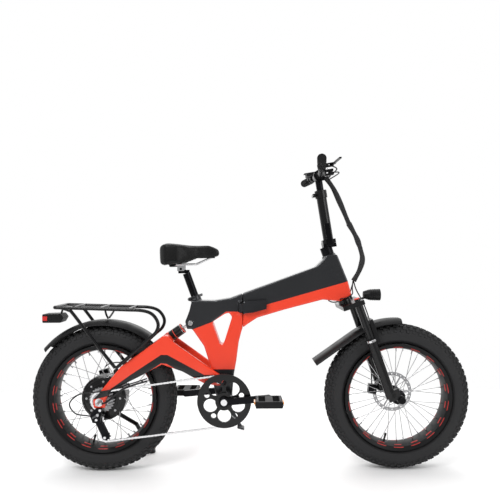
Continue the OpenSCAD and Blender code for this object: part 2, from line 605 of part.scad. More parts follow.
/* ---- Fork, in the head tube's own directions ---- */
module fork_upper() color("black") at_head() {
    translate([0, 0, crown_z]) cylinder(d = steerer_d, h = -crown_z + 34);
    translate([0, 0, -head_l - 16]) cylinder(d = 50, h = 15);
    translate([-28, -leg_y - 22, crown_z]) cube([fork_fwd + 50, 2 * leg_y + 44, 18]);
    both_sides() {
        translate([fork_fwd, leg_y, -axle_drop + 160]) cylinder(d = stanchion_d,
            h = axle_drop - 160 + crown_z + 4);
        translate([fork_fwd, leg_y, crown_z + 18]) cylinder(d = 22, h = 8);
    }
}
module headlight() color("black") at_head() {
    translate([fork_fwd + 43, 0, crown_z + 24]) rotate([0, 90 + head_tilt, 0]) rotate_extrude()
        polygon([[0, 0], [14, 0], [21, 22], [23, 60], [23, 66], [0, 66]]);
    translate([fork_fwd + 22, -6, crown_z + 8]) cube([32, 12, 8]);
}
module fork_lowers() color("black") at_head() difference() {
    union() {
        both_sides() {
            translate([fork_fwd, leg_y, -axle_drop + 20]) cylinder(d = lower_d, h = 237);
            translate([fork_fwd - 12, leg_y - 10, -axle_drop + 6]) cube([48, 20, 40]);
            rotate([90, 0, 0]) translate([axle_fwd, -axle_drop, -leg_y - 10]) cylinder(d = 32, h = 20);
            translate([fork_fwd + 16, leg_y - 8, -380]) cube([16, 14, 86]);
        }
        translate([fork_fwd + 16, -leg_y - 6, -302]) cube([16, 2 * leg_y + 12, 14]);
    }
    both_sides() translate([fork_fwd, leg_y, -axle_drop + 100]) cylinder(r = stanchion_d / 2 + run,
        h = 165);
    rotate([90, 0, 0]) translate([axle_fwd, -axle_drop, -120]) cylinder(d = axle_d, h = 240);
}
module front_fender() color("black") at_front_axle() {
    fender(87, 125);
    rotate([0, -125, 0]) translate([fender_r - 18, 0, -0.01])
        linear_extrude(190) intersection() {
            translate([-fender_r + 18, 0]) fender_profile();
            translate([0, -fender_w]) square([40, 2 * fender_w]);
        }
}
module front_caliper() color("dimgray") at_front_axle() {
    rotate([0, -172, 0]) caliper(front_disc_y, leg_y - 2);
}

/* ---- Stem, handlepost and bars, in the handlepost's own directions ---- */
post_top = 210;
bar_h = 272;
module stem_base() color("black") {
    at_hpost() translate([-26, 27, 0]) rotate([0, 90, 0]) cylinder(d = 8, h = 52);
    stem_knuckles();
}
module stem_knuckles() difference() {
    union() {
        at_head() translate([0, 0, gap]) cylinder(d = 48, h = 32);
        at_hpost() translate([-26, -22, -16]) cube([52, 44, 15.8]);
        at_hpost() for (x = [-26, 14]) translate([x, 27, 0]) rotate([0, 90, 0]) cylinder(d = 18, h = 12);
        at_hpost() for (x = [-26, 14]) translate([x, 18, -12]) cube([12, 14, 10]);
    }
    at_head() translate([0, 0, -1]) cylinder(d = steerer_d, h = 35);
    at_hpost() translate([-14, 27, 0]) rotate([0, 90, 0]) cylinder(d = 19, h = 28);
}
module handlepost() color("black") at_hpost() difference() {
    union() {
        translate([-26, -22, 0.2]) cube([52, 44, 16]);
        translate([-13.6, 27, 0]) rotate([0, 90, 0]) cylinder(d = 18, h = 27.2);
        translate([-13.6, 18, 2]) cube([27.2, 14, 10]);
        translate([0, 0, 16]) cylinder(d = hpost_d, h = post_top - 16);
        translate([0, 0, post_top - 26]) cylinder(d = hpost_d + 8, h = 30);
        cam_rod(hpost_d + 8, post_top - 12);
    }
    translate([-30, 27, 0]) rotate([0, 90, 0]) cylinder(r = 4 + run, h = 60);
    translate([0, 0, 24]) cylinder(r = bpost_d / 2 + run, h = post_top);
    for (x = [-40, 14 - gap]) translate([x, 27, 0]) rotate([0, 90, 0]) cylinder(d = 19, h = 26.4);
}
module stem_latch() color("dimgray") at_hpost() {
    translate([0, -27.6, -6]) rotate([0, 90, 0]) cylinder(d = 10, h = 30, center = true);
    translate([-10, -32, -4]) cube([20, 7, 84]);
}
module height_lever() color("silver") at_hpost() cam_lever(hpost_d + 8, post_top - 12);
module bar_post() color("dimgray") at_hpost() difference() {
    union() {
        translate([0, 0, 90]) cylinder(d = bpost_d, h = bar_h - 102);
        translate([4, 0, bar_h]) rotate([90, 0, 0]) cylinder(d = 46, h = 44, center = true);
    }
    translate([4, 0, bar_h]) rotate([90, 0, 0]) cylinder(d = 31.8, h = 60, center = true);
}
bar_pts = [[4, 0, bar_h], [4, 60, bar_h], [4, 100, bar_h + 12], [-22, bar_w / 2, bar_h + 18]];
function bar_at(y) = let (t = (y - 100) / (bar_w / 2 - 100)) bar_pts[2] + t * (bar_pts[3] - bar_pts[2]);
module handlebar() color("black") at_hpost() {
    rotate([90, 0, 0]) translate([4, bar_h, 0]) cylinder(d = 31.8, h = 56, center = true);
    both_sides() {
        tube([bar_pts[0], bar_pts[1], bar_pts[2], bar_at(bar_w / 2 - 1)], bar_d);
    }
}
module grips() color("black") at_hpost() both_sides() difference() {
    rod(bar_at(bar_w / 2 - grip_l), bar_pts[3], bar_d + 10);
    rod(bar_at(bar_w / 2 - grip_l - 2), bar_at(bar_w / 2 - 1), bar_d + 0.02);
}
lever_y = bar_w / 2 - grip_l - 24;
module bar_controls() color("black") at_hpost() {
    both_sides() difference() {
        union() {
            rod(bar_at(lever_y), bar_at(lever_y + 16), bar_d + 12);
            translate(bar_at(lever_y) + [12, 0, -8]) cube([30, 16, 14]);
        }
        rod(bar_at(lever_y - 9), bar_at(lever_y + 19), bar_d + 0.02);
        translate(bar_at(lever_y) + [34, 8, -20]) cylinder(r = 3 + run, h = 40);
        translate(bar_at(lever_y) + [22, -2, -4]) cube([40, 20, 6]);
    }
    mirror([0, 1, 0]) difference() {
        union() {
            rod(bar_at(lever_y - 34), bar_at(lever_y - 14), bar_d + 10);
            translate(bar_at(lever_y - 24) + [6, -12, -34]) cube([34, 24, 22]);
        }
        rod(bar_at(lever_y - 38), bar_at(lever_y - 8), bar_d + 0.02);
        translate(bar_at(lever_y - 24) + [28, 0, -45]) cylinder(r = 2 + run, h = 40);
        translate(bar_at(lever_y - 24) + [12, -30, -27]) cube([40, 60, 7]);
    }
    difference() {
        union() {
            rod(bar_at(lever_y - 34), bar_at(lever_y - 14), bar_d + 10);
            translate(bar_at(lever_y - 34) + [-34, -46, 6]) cube([44, 54, 14]);
            translate(bar_at(lever_y - 34) + [-8, -10, 0]) cube([14, 24, 14]);
        }
        rod(bar_at(lever_y - 38), bar_at(lever_y - 8), bar_d + 0.02);
    }
}
module brake_lever() {
    translate(bar_at(lever_y) + [34, 8, -3.7]) difference() {
        union() {
            cylinder(d = 11, h = 5.4);
            rotate(58) translate([0, -4, 0]) cube([22, 8, 5.4]);
            translate([11, 18, 0]) rotate(86) cube([bar_w / 2 - lever_y - 42, 9, 5.4]);
        }
        translate([0, 0, -9]) cylinder(r = 3 + 2 * run, h = 20);
    }
    translate(bar_at(lever_y) + [34, 8, -8]) cylinder(r = 3, h = 14);
}
module left_brake_lever() color("silver") at_hpost() brake_lever();
module right_brake_lever() color("silver") at_hpost() mirror([0, 1, 0]) brake_lever();
module shift_lever() color("black") at_hpost() mirror([0, 1, 0])
    translate(bar_at(lever_y - 24) + [28, 0, -26.7]) difference() {
        union() {
            cylinder(d = 16, h = 6.4);
            rotate(-60) translate([0, -5, 0]) cube([30, 10, 6.4]);
            translate([0, 0, -7]) cylinder(r = 2, h = 20);
        }
    }
module throttle_lever() color("black") at_hpost() translate(bar_at(lever_y + 17)) difference() {
    union() {
        rod([0, 0, 0], (bar_at(lever_y + 22) - bar_at(lever_y + 17)), bar_d + 9);
        translate([-26, 0.5, -14]) cube([14, 3, 10]);
    }
    rod((bar_at(lever_y) - bar_at(lever_y + 6)), (bar_at(lever_y + 32) - bar_at(lever_y + 17)),
        bar_d + 2 * run);
}

/* ---- Cables: swept along hand chosen points ---- */
harness_route = [[-272, 38, 878], [-238, 43, 830], [-206, 47, 762], [-176, 48, 690], [-146, 48, 634],
    [-131, 42, 590], [-124, 32, 545], [-136, 30, 500], [-160, 33, 455]];
function ring_at(p, t, d, n = 8) = let (
    s = cross(t, [0, 1, 0.02]), u = s / norm(s), w = cross(u, t) / norm(t))
    [for (k = [0:n - 1]) p + d / 2 * (cos(360 * k / n) * u + sin(360 * k / n) * w)];
module sweep(p, d, n = 8) {
    m = len(p);
    rings = [for (i = [0:m - 1]) each ring_at(p[i], p[min(i + 1, m - 1)] - p[max(i - 1, 0)], d, n)];
    polyhedron(rings, concat([[for (k = [0:n - 1]) k]],
        [for (i = [0:m - 2], k = [0:n - 1]) [i * n + k, i * n + n + k, i * n + n + (k + 1) % n,
            i * n + (k + 1) % n]],
        [[for (k = [n - 1:-1:0]) (m - 1) * n + k]]));
}
front_hose_route = [[-158, 28, 453], [-148, 36, 422], [-131, 50, 390], [-112, 57, 354], [-96, 57, 310],
    [-84, 57, 244], [-80, 57, 164], [-84, 57, 94], [-83, 57, 37]];
frame_loop_route = [[-164, 30, 453], [-167, 38, 430], [-175, 41, 406], [-198, 41, 386], [-226, 38, 371],
    [-248, 28, 370], [-264, 18, 375]];
gear_cable_route = [[180, -76, 86], [130, -78, 70], [80, -92, 58], [35, -104, 46], [-20, -106, 40],
    [-75, -108, 32], [-110, -106, -2], [-88, -104, -40], [-40, -98, -52]];
motor_cable_route = [[16, -106, -2], [35, -108, 6], [60, -105, 26], [90, -94, 48], [125, -79, 61],
    [180, -76, 76]];
rear_hose_route = [[180, 76, 86], [130, 80, 92], [80, 94, 108], [30, 95, 118], [-8, 82, 114], [-22, 73, 104]];
module control_cables() color("black") {
    translate([front_x, 0, axle_z]) {
        sweep(harness_route, harness_d, 12);
        sweep(front_hose_route, hose_d);
        sweep(frame_loop_route, hose_d);
    }
    translate([rear_x, 0, axle_z]) {
        sweep(gear_cable_route, hose_d);
        sweep(motor_cable_route, motor_cable_d);
        sweep(rear_hose_route, hose_d);
    }
}

rear_frame();
frame_hinge_pin();
suspension_bolts();
seat_qr_lever();
seat_post();
saddle_rails();
saddle_base();
saddle_cushion();
shock_shaft();
shock_can();
swingarm();
rear_axle();
rear_rack();
rear_fender();
tail_light();
kickstand();
rear_caliper();
derailleur();
derailleur_cage();
guide_pulley();
tension_pulley();
chain();
rear_tyre();
rear_rim();
rear_spokes();
hub_motor();
rear_disc();
freewheel();
right_crank();
chainring();
left_crank();
right_pedal();
left_pedal();
front_frame();
battery_pack();
frame_latch();
fork_upper();
stem_base();
headlight();
fork_lowers();
front_fender();
front_caliper();
front_axle();
front_tyre();
front_rim();
front_spokes();
front_hub();
front_disc();
handlepost();
stem_latch();
height_lever();
bar_post();
handlebar();
grips();
bar_controls();
left_brake_lever();
right_brake_lever();
shift_lever();
throttle_lever();
control_cables();
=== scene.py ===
"""Looks of the folding electric bicycle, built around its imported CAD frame."""
import math

import bmesh
import bpy
from mathutils import Matrix, Vector


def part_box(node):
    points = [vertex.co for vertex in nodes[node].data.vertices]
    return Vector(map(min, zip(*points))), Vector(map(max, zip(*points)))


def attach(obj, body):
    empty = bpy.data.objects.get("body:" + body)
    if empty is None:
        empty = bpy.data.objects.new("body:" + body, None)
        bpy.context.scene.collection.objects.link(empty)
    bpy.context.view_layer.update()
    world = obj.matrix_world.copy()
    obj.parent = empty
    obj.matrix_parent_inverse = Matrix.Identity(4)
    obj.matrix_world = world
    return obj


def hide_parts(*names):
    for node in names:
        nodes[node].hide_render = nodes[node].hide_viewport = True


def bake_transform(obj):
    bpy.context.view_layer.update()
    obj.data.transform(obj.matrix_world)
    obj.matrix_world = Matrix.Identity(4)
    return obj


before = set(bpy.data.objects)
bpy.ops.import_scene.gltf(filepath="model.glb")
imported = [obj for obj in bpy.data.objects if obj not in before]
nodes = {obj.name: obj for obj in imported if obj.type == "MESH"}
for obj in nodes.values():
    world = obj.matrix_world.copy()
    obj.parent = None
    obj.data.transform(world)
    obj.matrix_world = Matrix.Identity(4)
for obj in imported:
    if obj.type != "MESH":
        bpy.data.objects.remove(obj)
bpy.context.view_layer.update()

MM = 0.001


def centre(node):
    low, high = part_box(node)
    return (low + high) / 2


def smoothstep(t):
    t = min(max(t, 0.0), 1.0)
    return t * t * (3 - 2 * t)


# -------- shader nodes

def feed(tree, socket, value):
    """Sets a socket to a number or colour, or links another node's output to it."""
    if isinstance(value, bpy.types.NodeSocket):
        tree.links.new(value, socket)
    else:
        socket.default_value = value


def add_node(tree, kind, **inputs):
    """A shader node; each keyword names an input, with _ for a space."""
    node = tree.nodes.new("ShaderNode" + kind)
    for name, value in inputs.items():
        feed(tree, node.inputs[name.replace("_", " ")], value)
    return node


# -------- camera, light, floor

VIEW_DISTANCE = 2.2
VIEW_WIDTH = 2.0
EYE_HEIGHT = 0.82
SENSOR = 36.0
FLOOR_R = 1.9
WORLD_DARK, WORLD_BRIGHT = 0.42, 1.0


def make_camera():
    data = bpy.data.cameras.new("camera")
    data.sensor_width = SENSOR
    data.lens = SENSOR * VIEW_DISTANCE / VIEW_WIDTH
    data.shift_y = 0.024
    camera = bpy.data.objects.new("camera", data)
    camera.location = (0, -VIEW_DISTANCE, EYE_HEIGHT)
    camera.rotation_euler = (math.radians(90), math.radians(0.3), 0)
    bpy.context.scene.collection.objects.link(camera)
    bpy.context.scene.camera = camera


def make_light(name, location, size, power):
    data = bpy.data.lights.new(name, "AREA")
    data.energy = power
    data.size = size
    lamp = bpy.data.objects.new(name, data)
    lamp.location = location
    aim = Vector((0, 0, 0.5)) - Vector(location)
    lamp.rotation_euler = aim.to_track_quat("-Z", "Y").to_euler()
    bpy.context.scene.collection.objects.link(lamp)


def make_world():
    """White ahead of the camera and darker behind it, so that black parts keep dark reflections."""
    world = bpy.data.worlds.new("world")
    world.use_nodes = True
    tree = world.node_tree
    background = tree.nodes["Background"]
    background.inputs["Color"].default_value = (1, 1, 1, 1)
    split = add_node(tree, "SeparateXYZ", Vector=add_node(tree, "TexCoord").outputs["Generated"])
    fade = add_node(tree, "MapRange", Value=split.outputs["Y"], From_Min=-0.35, From_Max=0.45,
                    To_Min=WORLD_DARK, To_Max=WORLD_BRIGHT)
    feed(tree, background.inputs["Strength"], fade.outputs[0])
    bpy.context.scene.world = world


def make_stage():
    make_camera()
    make_light("key", (-1.6, -2.6, 3.2), 1.5, 88)
    make_light("fill", (2.8, -2.2, 1.8), 1.8, 34)
    make_light("top", (0.2, 0.6, 3.4), 3.0, 40)
    make_light("back", (-0.6, 3.2, 2.4), 3.0, 20)
    make_world()
    bpy.context.scene.view_settings.view_transform = "Standard"
    bpy.ops.mesh.primitive_circle_add(vertices=96, radius=FLOOR_R, fill_type="NGON",
                                      location=(0, -0.35, -0.0015))
    floor = bpy.context.object
    floor.scale = (1.6, 1.0, 1.0)
    floor.name = "floor"
    floor.data.materials.append(Look("floor", (0.97, 0.97, 0.97), 0.6).vary(0.8, 0.01).done())


# -------- materials

class Look:
    """A Principled material built up from procedural layers."""

    def __init__(self, name, colour, rough, metal=0.0, coat=0.0):
        self.material = bpy.data.materials.new(name)
        self.material.use_nodes = True
        self.tree = self.material.node_tree
        self.shader = self.tree.nodes["Principled BSDF"]
        self.set("Metallic", metal)
        self.set("Roughness", rough)
        self.set("Coat Weight", coat)
        self.set("Coat Roughness", 0.05)
        if max(colour) < 0.06 and metal < 0.5:
            self.set("Specular IOR Level", 0.22)
        self.rough = rough
        self.coord = self.node("TexCoord").outputs["Object"]
        self.colour = self.node("RGB").outputs[0]
        self.colour.default_value = (*colour, 1)
        self.normal = None

    def node(self, kind, **inputs):
        return add_node(self.tree, kind, **inputs)

    def set(self, socket, value):
        feed(self.tree, self.shader.inputs[socket], value)

    def noise(self, scale, detail=3.0, stretch=None):
        vector = self.coord
        if stretch:
            vector = self.node("Mapping", Vector=vector, Scale=stretch).outputs[0]
        return self.node("TexNoise", Vector=vector, Scale=scale, Detail=detail).outputs["Fac"]

    def ramp(self, value, low, high, to_low=0.0, to_high=1.0):
        node = self.node("MapRange", Value=value, From_Min=low, From_Max=high, To_Min=to_low, To_Max=to_high)
        return node.outputs[0]

    def math(self, kind, a, b=0.0):
        node = self.node("Math")
        node.operation = kind
        for socket, value in zip(node.inputs, (a, b)):
            feed(self.tree, socket, value)
        return node.outputs[0]

    def mix(self, factor, colour):
        node = self.node("Mix")
        node.data_type = "RGBA"
        for socket, value in ((0, factor), (6, self.colour), (7, (*colour, 1))):
            feed(self.tree, node.inputs[socket], value)
        self.colour = node.outputs[2]
        return self

    def vary(self, scale, amount):
        """Slow unevenness of roughness and a little of the colour."""
        noise = self.noise(scale)
        low_rough = max(self.rough - amount, 0.02)
        self.set("Roughness", self.ramp(noise, 0.3, 0.7, low_rough, self.rough + amount))
        level = self.ramp(noise, 0.3, 0.7, 1 - amount, 1 + amount)
        self.colour = self.node("HueSaturation", Value=level, Color=self.colour).outputs[0]
        return self

    def wear(self, colour, strength):
        """Lighter rubbed edges."""
        edge = self.ramp(self.node("NewGeometry").outputs["Pointiness"], 0.53, 0.60, 0.0, strength)
        return self.mix(self.math("MULTIPLY", edge, self.ramp(self.noise(60), 0.35, 0.65)), colour)

    def bump(self, height, strength, distance):
        node = self.node("Bump", Height=height, Strength=strength, Distance=distance)
        if self.normal is not None:
            feed(self.tree, node.inputs["Normal"], self.normal)
        self.normal = node.outputs[0]
        return self

    def axis(self, index):
        return self.node("SeparateXYZ", Vector=self.coord).outputs[index]

    def curve_of_x(self, points):
        """Height above the ground, as a line through (x, z) points."""
        node = self.node("FloatCurve")
        x0, x1 = points[0][0], points[-1][0]
        curve = node.mapping.curves[0]
        for i, (x, z) in enumerate(points):
            place = ((x - x0) / (x1 - x0), z)
            if i < 2:
                point = curve.points[i]
                point.location = place
            else:
                point = curve.points.new(*place)
            point.handle_type = "VECTOR"
        node.mapping.update()
        feed(self.tree, node.inputs["Value"], self.ramp(self.axis(0), x0, x1))
        return node.outputs[0]

    def done(self):
        self.set("Base Color", self.colour)
        if self.normal is not None:
            self.set("Normal", self.normal)
        return self.material


RED = (0.76, 0.048, 0.018)
BLACK = (0.004, 0.004, 0.0045)
GREY_METAL = (0.36, 0.36, 0.37)


def fine_metal(name, colour, rough, brushed=(1, 1, 1)):
    look = Look(name, colour, rough, metal=1.0).vary(14, 0.06)
    return look.bump(look.noise(900, 2, brushed), 0.12, 0.0002).done()


def plastic(name, colour, rough, grain=1400, depth=0.25):
    look = Look(name, colour, rough).vary(25, 0.05)
    look.wear(tuple(min(c * 2.2 + 0.012, 1) for c in colour), 0.3)
    return look.bump(look.noise(grain, 2), depth, 0.0003).done()


def paint(name, colour, rough, coat=0.6):
    look = Look(name, colour, rough, coat=coat).vary(6, 0.04)
    look.wear(tuple(min(c * 1.6 + 0.03, 1) for c in colour), 0.25)
    return look.bump(look.noise(380, 2), 0.04, 0.0003).done()


def rubber(name, colour, rough=0.82):
    look = Look(name, colour, rough).vary(30, 0.06)
    look.mix(look.ramp(look.noise(11, 5), 0.45, 0.75, 0, 0.16), (0.035, 0.034, 0.033))
    return look.bump(look.noise(700, 3), 0.35, 0.0004).done()


def braid():
    look = Look("braided_sleeve", (0.02, 0.02, 0.021), 0.62)
    wave = look.node("TexWave", Vector=look.coord, Scale=260, Distortion=0.4)
    wave.bands_direction = "DIAGONAL"
    look.mix(look.ramp(wave.outputs["Fac"], 0.4, 0.9, 0, 0.6), (0.055, 0.055, 0.058))
    return look.bump(wave.outputs["Fac"], 0.6, 0.0008).done()


def leather():
    look = Look("saddle_cover", (0.004, 0.004, 0.0042), 0.42).vary(18, 0.06)
    cells = look.node("TexVoronoi", Vector=look.coord, Scale=420)
    cells.feature = "SMOOTH_F1"
    look.bump(cells.outputs["Distance"], 0.35, 0.0006)
    return look.bump(look.noise(1500, 2), 0.2, 0.0003).done()


def make_looks():
    return {
        "steel": fine_metal("steel", (0.42, 0.42, 0.43), 0.28),
        "chrome": fine_metal("chrome", (0.66, 0.66, 0.67), 0.12),
        "brushed": fine_metal("brushed_disc", GREY_METAL, 0.32, (1, 30, 1)),
        "alloy": fine_metal("alloy", GREY_METAL, 0.34),
        "black_alloy": fine_metal("black_alloy", (0.012, 0.012, 0.0135), 0.32),
        "gunmetal": fine_metal("gunmetal", (0.045, 0.046, 0.050), 0.36),
        "black_paint": paint("black_paint", (0.003, 0.003, 0.0035), 0.28, 0.2),
        "plastic": plastic("black_plastic", BLACK, 0.5),
        "satin": plastic("satin_plastic", BLACK, 0.42, 2200, 0.12),
        "rubber": rubber("rubber", BLACK),
        "tyre": rubber("tyre_rubber", (0.019, 0.019, 0.020), 0.62),
        "red": paint("red_paint", RED, 0.3),
        "rim_tape": plastic("rim_tape", (0.34, 0.012, 0.008), 0.45),
        "cable": plastic("cable_sleeve", (0.012, 0.012, 0.013), 0.42, 2600, 0.2),
        "braid": braid(),
        "leather": leather(),
        "screen": Look("screen", (0.01, 0.012, 0.016), 0.08, coat=1.0).vary(4, 0.01).done(),
        "lens": Look("clear_lens", (0.75, 0.78, 0.8), 0.06, coat=1.0).vary(9, 0.02).done(),
        "red_lens": Look("red_lens", (0.55, 0.012, 0.010), 0.14, coat=1.0).vary(9, 0.03).done(),
        "amber": Look("amber_reflector", (0.85, 0.30, 0.02), 0.18, coat=0.8).vary(60, 0.05).done(),
    }


# -------- mesh helpers

def shade(obj, angle):
    """Smooth shading that stays sharp over edges steeper than an angle."""
    obj.data.shade_smooth()
    limit = math.cos(math.radians(angle))
    bm = bmesh.new()
    bm.from_mesh(obj.data)
    bm.normal_update()
    for edge in bm.edges:
        if len(edge.link_faces) == 2:
            edge.smooth = edge.link_faces[0].normal.dot(edge.link_faces[1].normal) > limit
    bm.to_mesh(obj.data)
    bm.free()


def mesh_of(name, verts, faces):
    mesh = bpy.data.meshes.new(name)
    mesh.from_pydata([tuple(v) for v in verts], [], faces)
    mesh.validate()
    bm = bmesh.new()
    bm.from_mesh(mesh)
    bmesh.ops.recalc_face_normals(bm, faces=bm.faces)
    bm.to_mesh(mesh)
    bm.free()
    return mesh


class Build:
    """Collects many small solids into one piece."""

    def __init__(self):
        self.verts = []
        self.faces = []

    def add(self, verts, faces, matrix=None):
        start = len(self.verts)
        self.verts += [matrix @ Vector(v) if matrix else Vector(v) for v in verts]
        self.faces += [tuple(start + i for i in f) for f in faces]

    def box(self, low, high, matrix=None, taper=0.0):
        (x0, y0, z0), (x1, y1, z1) = low, high
        t = taper
        self.add(
            [(x0, y0, z0), (x1, y0, z0), (x1, y1, z0), (x0, y1, z0),
             (x0 + t, y0 + t, z1), (x1 - t, y0 + t, z1), (x1 - t, y1 - t, z1), (x0 + t, y1 - t, z1)],
            [(3, 2, 1, 0), (4, 5, 6, 7), (0, 1, 5, 4), (1, 2, 6, 5), (2, 3, 7, 6), (3, 0, 4, 7)],
            matrix,
        )

    def lathe(self, profile, segments, matrix=None, closed=True):
        """Turns (radius, height) points about local Z."""
        n = len(profile)
        turns = [2 * math.pi * k / segments for k in range(segments)]
        verts = [(r * math.cos(a), r * math.sin(a), h) for a in turns for r, h in profile]
        faces = []
        for k in range(segments):
            a, b = k * n, (k + 1) % segments * n
            for i in range(n if closed else n - 1):
                j = (i + 1) % n
                faces.append((a + i, b + i, b + j, a + j))
        self.add(verts, faces, matrix)

    def disc(self, radius, height, segments=24, matrix=None, bevel=0.0):
        """A capped and bevelled short cylinder along local Z, from 0 to height."""
        b = min(bevel, height / 2.1, radius / 2)
        rings = [(radius - b, 0), (radius, b), (radius, height - b), (radius - b, height)]
        start = len(self.verts)
        self.lathe(rings, segments, matrix, closed=False)
        self.faces.append(tuple(start + k * 4 for k in range(segments))[::-1])
        self.faces.append(tuple(start + k * 4 + 3 for k in range(segments)))

    def put(self, name, look, body=None, slot=None, stands_for=(), smooth=35):
        """Makes the piece. One without a body is left where it is built."""
        obj = bpy.data.objects.new(name, mesh_of(name, self.verts, self.faces))
        bpy.context.scene.collection.objects.link(obj)
        obj.data.materials.append(looks[look])
        shade(obj, smooth)
        if body:
            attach(obj, body)
        if stands_for:
            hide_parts(*stands_for)
        return obj


def along(a, b):
    """A matrix whose origin is a and whose Z points to b."""
    a, b = Vector(a), Vector(b)
    return Matrix.Translation(a) @ (b - a).to_track_quat("Z", "Y").to_matrix().to_4x4()


def sideways(point, side=1):
    """A matrix at a point whose Z points to the left side, or to the right one for side -1."""
    return Matrix.Translation(point) @ Matrix.Rotation(math.radians(-90 * side), 4, "X")


def lengthways(point, side=1):
    """A matrix at a point whose Z points forward, or backward for side -1."""
    return Matrix.Translation(point) @ Matrix.Rotation(math.radians(90 * side), 4, "Y")


def polar(place, radius, angle, y=0.0):
    """A point round an axle."""
    return place + Vector((radius * math.cos(angle), y, radius * math.sin(angle)))


def smooth_path(points, steps):
    pts = [Vector(p) for p in points]
    pts = [pts[0] * 2 - pts[1]] + pts + [pts[-1] * 2 - pts[-2]]
    out = []
    for i in range(1, len(pts) - 2):
        for k in range(steps):
            t = k / steps
            p0, p1, p2, p3 = pts[i - 1:i + 3]
            out.append(0.5 * (2 * p1 + (p2 - p0) * t + (2 * p0 - 5 * p1 + 4 * p2 - p3) * t * t
                              + (3 * p1 - p0 - 3 * p2 + p3) * t ** 3))
    out.append(pts[-2])
    return out


def tube(build, points, radius, sides, steps):
    """A round tube swept along a smooth line. radius may be a function of the way along, 0 to 1."""
    path = smooth_path(points, steps) if steps > 1 else [Vector(p) for p in points]
    up = Vector((0.03, 1, 0.02)).normalized()
    start = len(build.verts)
    for i, p in enumerate(path):
        t = (path[min(i + 1, len(path) - 1)] - path[max(i - 1, 0)]).normalized()
        side = up.cross(t)
        side = side.normalized() if side.length > 1e-4 else Vector((1, 0, 0))
        up = t.cross(side).normalized()
        r = radius(i / (len(path) - 1)) if callable(radius) else radius
        for k in range(sides):
            a = 2 * math.pi * k / sides
            build.verts.append(p + r * (math.cos(a) * side + math.sin(a) * up))
    for i in range(len(path) - 1):
        for k in range(sides):
            a, b = start + i * sides, start + (i + 1) * sides
            build.faces.append((a + k, a + (k + 1) % sides, b + (k + 1) % sides, b + k))
    build.faces.append(tuple(start + k for k in range(sides))[::-1])
    build.faces.append(tuple(start + (len(path) - 1) * sides + k for k in range(sides)))


WELD_GAP = 0.00002


def modify(obj, kind, **settings):
    modifier = obj.modifiers.new(kind.lower(), kind)
    for name, value in settings.items():
        setattr(modifier, name, value)
    return modifier


def apply_all(obj):
    bpy.context.view_layer.update()
    graph = bpy.context.evaluated_depsgraph_get()
    mesh = bpy.data.meshes.new_from_object(obj.evaluated_get(graph))
    obj.modifiers.clear()
    obj.data = mesh


def soften(node, look, width):
    """Gives a CAD node its finish and rounds its sharp edges for the light to catch."""
    obj = nodes[node]
    obj.data.materials.clear()
    obj.data.materials.append(looks[look])
    modify(obj, "WELD", merge_threshold=WELD_GAP)
    modify(obj, "DECIMATE", decimate_type="DISSOLVE", angle_limit=math.radians(0.8))
    modify(obj, "BEVEL", width=width, segments=2, limit_method="ANGLE", angle_limit=math.radians(32),
           use_clamp_overlap=True, harden_normals=False)
    for face in obj.data.polygons:
        face.use_smooth = True
    modify(obj, "WEIGHTED_NORMAL", keep_sharp=True)


def copy_of(node, name):
    obj = bpy.data.objects.new(name, nodes[node].data.copy())
    bpy.context.scene.collection.objects.link(obj)
    return obj


def dress(obj, material, body, node):
    """Gives a reshaped copy of a CAD node its material, and the node's place on its body."""
    obj.data.materials.clear()
    obj.data.materials.append(material)
    obj.data.shade_smooth()
    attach(obj, body)
    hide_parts(node)


def cast_shell(node, material):
    """A copy of a CAD shell with its edges melted round, as a cast and painted frame has."""
    obj = copy_of(node, f"{node}_shell")
    modify(obj, "WELD", merge_threshold=WELD_GAP)
    modify(obj, "REMESH", mode="VOXEL", voxel_size=0.003)
    modify(obj, "SMOOTH", factor=0.6, iterations=9)
    apply_all(obj)
    dress(obj, material, node, node)


# -------- shared places

REAR = centre("rear_axle")
FRONT = centre("front_axle")
BB = centre("chainring")

make_stage()
looks = make_looks()


# -------- cables

# Points of the steering column and the handlepost, from which things on them are placed
HEAD, HEAD_ANGLE = Vector((0.313, 0, 0.848)), 19
STEM, STEM_ANGLE = Vector((0.316, 0, 0.892)), 9


def leaning(origin, degrees, point):
    """A point given in millimetres along a leaning tube: ahead of it, to the left, and up it."""
    c, s = math.cos(math.radians(degrees)), math.sin(math.radians(degrees))
    x, y, z = (v * MM for v in point)
    return origin + Vector((x * c - z * s, y, x * s + z * c))


def on_head(*point):
    return leaning(HEAD, HEAD_ANGLE, point)


def on_post(*point):
    return leaning(STEM, STEM_ANGLE, point)


def harness(name, points):
    build = Build()
    tube(build, points, lambda t: 0.0104 + 0.0012 * math.sin(t * 9.4 + points[0][2] * 40), 20, 14)
    obj = build.put(name, "braid", slot="rubber", smooth=60)
    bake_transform(obj)
    return obj


def thin(name, points, radius, a, b=None):
    build = Build()
    tube(build, points, radius, 10, 10)
    obj = build.put(name, "cable", None if b else a, "rubber", smooth=60)
    if b:
        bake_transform(obj)


